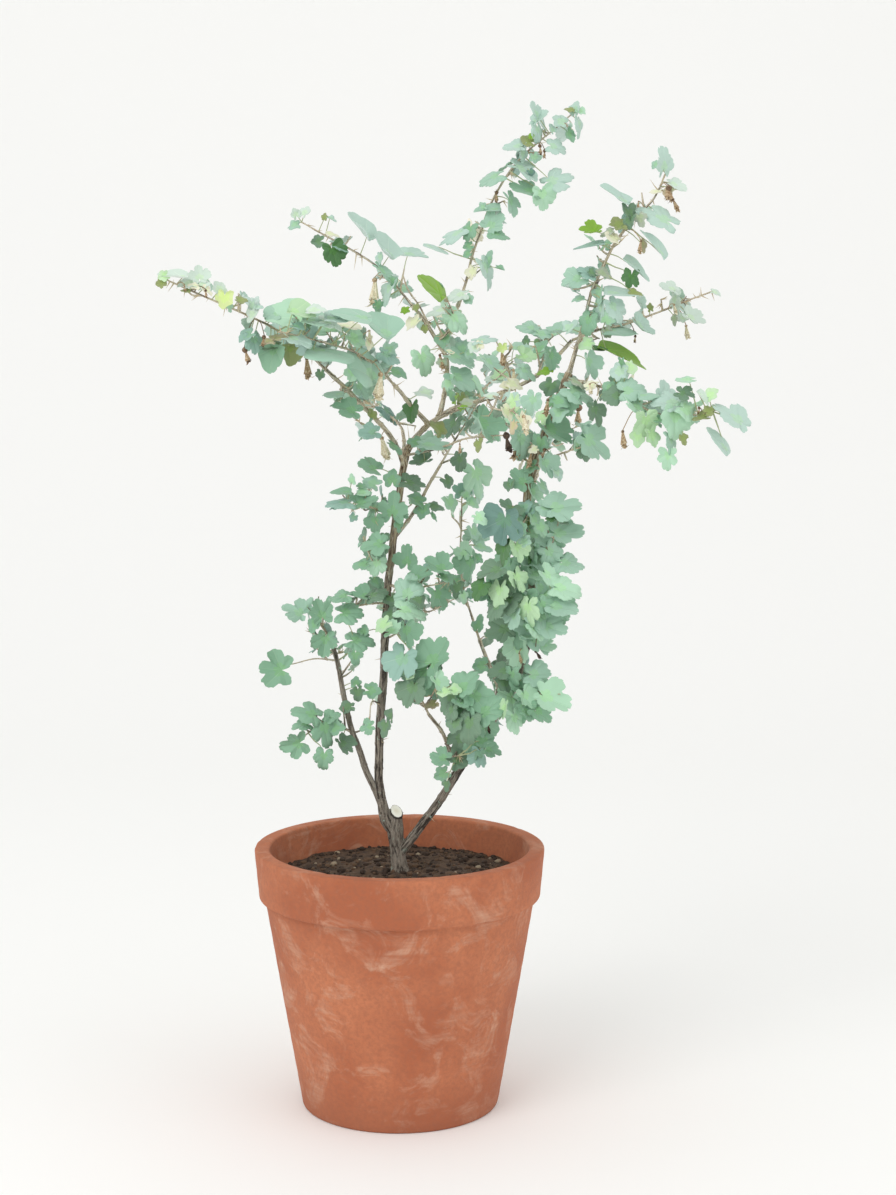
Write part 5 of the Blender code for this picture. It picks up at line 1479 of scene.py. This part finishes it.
def densified(points, step):
    dense = [points[0]]
    for one, two in zip(points, points[1:]):
        parts = max(1, round((two - one).length / step))
        dense += [one.lerp(two, n / parts) for n in range(1, parts + 1)]
    return dense


def turned(name, profile, steps, finish, move=None):
    heap = Heap()
    points, faces = [], []
    for radius, height in profile[1:-1]:
        for step in range(steps):
            angle = math.tau * step / steps
            spot = Vector((radius * math.cos(angle), radius * math.sin(angle), height))
            points.append(move(spot, angle) if move else spot)
    rings = len(profile) - 2
    for ring in range(rings - 1):
        for step in range(steps):
            after = (step + 1) % steps
            faces.append((ring * steps + step, (ring + 1) * steps + step,
                          (ring + 1) * steps + after, ring * steps + after))
    first, last = len(points), len(points) + 1
    points += [Vector((0, 0, profile[0][1])), Vector((0, 0, profile[-1][1]))]
    for step in range(steps):
        after = (step + 1) % steps
        faces.append((first, step, after))
        faces.append((last, (rings - 1) * steps + after, (rings - 1) * steps + step))
    heap.add(points, faces)
    return heap.build(name, [finish], 60)


def potInside():
    p = potSizes
    mouth = p["mouthRadius"] - p["rimProud"] - p["wall"]
    bodyTop = p["mouthRadius"] - p["rimTaper"] - p["rimProud"]
    slope = (bodyTop - p["footRadius"]) / (p["height"] - p["rimHeight"])
    foot = p["footRadius"] - p["wall"] + slope * p["floor"]
    return foot, mouth, bodyTop


def clayFinish():
    p = potSizes
    finish = Finish("firedClay", p["clay"], 0.88)
    where = finish.place()
    broad = finish.cloud(where, 9, 4, 0.6, 0.6)
    fine = finish.cloud(where, 260, 4, 0.65)
    grit = finish.cloud(where, 1500, 2, 0.6)
    bands = finish.cloud(finish.place((1, 1, 14)), 12, 3, 0.6)
    body = finish.mix(finish.steps(broad, ((0.35, 0), (0.65, 1))), solid(p["clay"]), solid(p["burnt"]))
    body = finish.mix(finish.steps(fine, ((0.35, 0.45), (0.6, 0))), body, solid(p["damp"]))
    salts = finish.steps(finish.cloud(where, 22, 5, 0.7, 1.2), ((0.50, 0), (0.72, 0.75)))
    body = finish.mix(salts * finish.steps(bands, ((0.35, 0.2), (0.7, 1))), body, solid(p["bloom"]))
    height = finish.node("SeparateXYZ", inputs={0: finish.node("TexCoord", output=3)}, output=2)
    foot = finish.steps(height * 6 + broad * 0.25, ((0.12, 0.55), (0.42, 0)))
    finish.colour(finish.mix(foot, body, solid(p["damp"])))
    finish.rough(finish.steps(fine, ((0.3, 0.78), (0.7, 0.95))))
    finish.relief(grit * 0.5 + fine * 0.6 + bands * 0.4, 0.6 * mm, 0.5)
    return finish


def makePot():
    p = potSizes
    foot, mouth, bodyTop = potInside()
    rimFoot = p["height"] - p["rimHeight"]
    corners = [
        (0, p["floor"]), (foot, p["floor"]), (mouth, p["height"]), (p["mouthRadius"], p["height"]),
        (p["mouthRadius"] - p["rimTaper"], rimFoot), (bodyTop, rimFoot), (p["footRadius"], 0), (0, 0)]
    profile = densified(rounded(corners, p["edge"]), 6 * mm)

    def worn(spot, angle):
        flat = Vector((spot.x, spot.y, 0)).normalized()
        ring = 0.10 * mm * math.sin(spot.z * 1400 + 2 * math.sin(angle * 2)) + 0.35 * mm * noise.noise(spot * 14)
        atEdge = math.exp(-((spot.z - p["height"]) / (2.2 * mm)) ** 2)
        atLip = math.exp(-((spot.z - rimFoot) / (1.8 * mm)) ** 2) * (spot.x ** 2 + spot.y ** 2 > bodyTop ** 2)
        chip = max(0, noise.noise(Vector((math.cos(angle) * 9, math.sin(angle) * 9, spot.z * 30))) - 0.28) * 3
        spot = spot - flat * (ring if spot.z > 4 * mm else 0)
        return spot - (sky * atEdge - sky * atLip + flat * (atEdge + atLip) * 0.7) * chip * p["chip"]

    pot = turned("clayPot", [tuple(point) for point in profile], p["steps"], clayFinish(), worn)
    for hole in range(p["holes"]):
        angle = math.tau * (hole + 0.5) / p["holes"]
        bpy.ops.mesh.primitive_cylinder_add(
            vertices=32, radius=p["holeRadius"], depth=4 * p["floor"],
            location=(p["holeCircle"] * math.cos(angle), p["holeCircle"] * math.sin(angle), 0))
        cutter = bpy.context.object
        cut = pot.modifiers.new("hole", "BOOLEAN")
        cut.operation = "DIFFERENCE"
        cut.object = cutter
        mesh = bpy.data.meshes.new_from_object(pot.evaluated_get(bpy.context.evaluated_depsgraph_get()))
        pot.modifiers.clear()
        pot.data = mesh
        bpy.data.objects.remove(cutter)
    pot.data.shade_smooth()
    pot.data.set_sharp_from_angle(angle=math.radians(50))
    return pot


def soilFinish(name, base, second):
    finish = Finish(name, base, 0.96)
    where = finish.place()
    patches = finish.cloud(where, 90, 5, 0.7)
    grains = finish.cloud(where, 900, 3, 0.6)
    body = finish.mix(finish.steps(patches, ((0.35, 0), (0.65, 1))), solid(base), solid(second))
    finish.colour(finish.mix(finish.steps(grains, ((0.64, 0), (0.74, 0.8))), body, solid(soilSizes["grit"])))
    finish.relief(patches * 0.6 + grains * 0.6, 1.2 * mm, 0.9)
    return finish


def soilHeight(x, y):
    s = soilSizes
    far = math.hypot(x, y) / potInside()[1]
    place = Vector((x, y, 0.3))
    clods = noise.fractal(place * 90, 0.9, 2.2, 4) * s["clods"]
    return s["top"] - s["dip"] * far * far + clods + 1.6 * mm * math.exp(-(far * 5) ** 2)


def makeSoil():
    s, p = soilSizes, potSizes
    foot, mouth, _ = potInside()

    def inside(height):
        return foot + (mouth - foot) * (height - p["floor"]) / (p["height"] - p["floor"]) - 0.6 * mm

    edge = s["top"] - s["dip"]
    profile = [(0, s["top"])]
    profile += [(inside(edge) * n / 52, s["top"]) for n in range(1, 53)]
    profile += [(inside(edge - n * 20 * mm), edge - n * 20 * mm) for n in range(1, 10)]
    profile += [(foot - 3 * mm, p["floor"] + 0.4 * mm), (0, p["floor"] + 0.4 * mm)]

    def clods(spot, angle):
        if spot.z < s["top"] - 1e-6:
            return spot
        return Vector((spot.x, spot.y, soilHeight(spot.x, spot.y)))

    base = soilFinish("pottingSoil", s["dark"], s["brown"])
    soil = turned("pottingSoil", profile, 180, base, clods)
    return soil, makeCrumbs(inside(edge))


def makeCrumbs(radius):
    s = soilSizes
    draw = random.Random("crumbs")
    shape = bmesh.new()
    bmesh.ops.create_icosphere(shape, subdivisions=2, radius=1)
    ball = [vertex.co.copy() for vertex in shape.verts]
    faces = [tuple(vertex.index for vertex in face.verts) for face in shape.faces]
    shape.free()
    heap = Heap()
    for _ in range(s["crumbs"]):
        far, angle = radius * math.sqrt(draw.random()) * 0.98, draw.uniform(0, math.tau)
        x, y = far * math.cos(angle), far * math.sin(angle)
        if far < 11 * mm:
            continue
        size = draw.choice((0.9, 1.2, 1.6, 2.2, 3.0)) * mm * draw.uniform(0.8, 1.2)
        squash = Vector((draw.uniform(0.7, 1.3), draw.uniform(0.7, 1.3), draw.uniform(0.5, 0.9)))
        shift = Vector((draw.uniform(0, 50), 0, 0))
        if far + size * 1.3 > radius:
            continue
        middle = Vector((x, y, soilHeight(x, y) + size * 0.2))
        points = []
        for corner in ball:
            bumpy = corner * size * (1 + 0.35 * noise.noise(corner * 1.7 + shift))
            points.append(middle + Vector([a * b for a, b in zip(bumpy, squash)]))
        heap.add(points, faces, draw.choices((0, 1, 2), (6, 4, 0.6))[0])
    finishes = [Finish("darkCrumb", s["dark"], 0.96), Finish("brownCrumb", s["brown"], 0.95),
                Finish("gritCrumb", s["grit"], 0.9)]
    return heap.build("soilCrumbs", finishes, 70)


# Build everything

wood, stems = layOutLimbs()
thickNames = ("trunk", "main_stem", "left_stem", "right_stem", "right_upper")
thinWood = {name: path for name, path in wood.items() if name not in thickNames}

print("wood")
trunkAndStems = growThickWood(wood, thickNames)
youngBark = barkFinish("youngBark", 0.75, 0.5, 1.0)
boughs = growThinWood("boughs", thinWood, 14, 1.8 * mm, barkLook["slender"], youngBark)
leafyStems = growThinWood("leafyStems", stems, 8, 3 * mm, barkLook["slenderShoot"], barkFinish("shootBark", 1.0, 0.8, 0.9))

print("foliage")
foliage = growFoliage(wood, stems)
skins = leafFinishes()
leafPieces = {region: heap.build("leaves" + region, skins, 75) for region, heap in foliage.leaves.items()}
stalkFinish = Finish("leafStalk", paint(176, 184, 142), 0.6)
spineFinish = Finish("spine", paint(196, 180, 146), 0.55)
dryFinishes = [dryFinish("dryCream", paint(238, 233, 212), paint(212, 200, 166)),
               dryFinish("dryTan", paint(206, 188, 156), paint(160, 132, 100)),
               dryFinish("dryBrown", paint(140, 116, 90), paint(92, 70, 52)),
               dryFinish("dryDark", paint(92, 74, 60), paint(50, 38, 30))]
stalks = foliage.stalks.build("leafStalks", [stalkFinish])
twigs = foliage.twigs.build("sideTwigs", [barkFinish("twigBark", 1.0, 0.4, 0.9)])
spines = foliage.spines.build("spines", [spineFinish])
dryFlowers = foliage.dry.build("dryFlowers", dryFinishes)

print("pot and soil")
pot = makePot()
soil, crumbs = makeSoil()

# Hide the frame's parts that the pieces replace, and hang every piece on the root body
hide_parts(*thickNames)
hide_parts(*thinWood)
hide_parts(*[name + "_leaves" for name in stems])
for region, piece in leafPieces.items():
    if foliage.nodes[region]:
        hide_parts(*foliage.nodes[region])
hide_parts("pot")
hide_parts("soil")
for piece, slot in (
        (trunkAndStems, "old_bark"), (boughs, "young_bark"), (leafyStems, "young_bark"), (stalks, "foliage"),
        (twigs, "young_bark"), (spines, "young_bark"), (dryFlowers, "foliage"), (pot, "clay"), (soil, "soil"),
        (crumbs, "soil"), *[(piece, "foliage") for piece in leafPieces.values()]):
    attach(piece, "root")

# Floor, light and camera

studio = dict(
    camera=Vector((0.045, -2.0, 0.725)), aim=Vector((0.045, 0.0, 0.478)), lens=66,
    wall=paint(250, 250, 248), skyStrength=0.85, keyStrength=34, fillStrength=9,
    floorFront=-6.0, wallPlace=3.2, bend=1.6, wallHeight=6.0, halfWidth=9.0,
)


def makeBackdrop():
    # A floor that curves up into a wall
    s = studio
    line = [(s["floorFront"], 0), (0, 0)]
    for n in range(13):
        angle = math.pi / 2 * n / 12
        line.append((s["wallPlace"] - s["bend"] + s["bend"] * math.sin(angle), s["bend"] * (1 - math.cos(angle))))
    line.append((s["wallPlace"], s["wallHeight"]))
    points, faces = [], []
    for y, z in line:
        points += [(-s["halfWidth"], y, z), (s["halfWidth"], y, z)]
    for n in range(len(line) - 1):
        faces.append((2 * n, 2 * n + 1, 2 * n + 3, 2 * n + 2))
    heap = Heap()
    heap.add(points, faces)
    backdrop = heap.build("backdrop", [Finish("paleFloor", s["wall"], 0.9)], 80)


def makeStudio():
    s = studio
    makeBackdrop()
    world = bpy.data.worlds.new("studio")
    bpy.context.scene.world = world
    world.use_nodes = True
    background = world.node_tree.nodes["Background"]
    background.inputs["Color"].default_value = (1, 1, 1, 1)
    background.inputs["Strength"].default_value = s["skyStrength"]
    softboxes = (((-1.4, -2.2, 2.6), 1.8, s["keyStrength"]), ((2.4, -1.4, 1.6), 2.4, s["fillStrength"]))
    for place, size, strength in softboxes:
        light = bpy.data.lights.new("softbox", "AREA")
        light.size = size
        light.energy = strength
        lamp = bpy.data.objects.new("softbox", light)
        lamp.location = place
        lamp.rotation_euler = (Vector((0, 0, 0.5)) - Vector(place)).to_track_quat("-Z", "Y").to_euler()
        bpy.context.scene.collection.objects.link(lamp)
    lens = bpy.data.cameras.new("camera")
    lens.lens = s["lens"]
    lens.sensor_fit = "VERTICAL"
    lens.sensor_height = 36
    camera = bpy.data.objects.new("camera", lens)
    camera.location = s["camera"]
    camera.rotation_euler = (s["aim"] - s["camera"]).to_track_quat("-Z", "Y").to_euler()
    bpy.context.scene.collection.objects.link(camera)
    bpy.context.scene.camera = camera
    bpy.context.scene.view_settings.view_transform = "Standard"


makeStudio()
print("done")
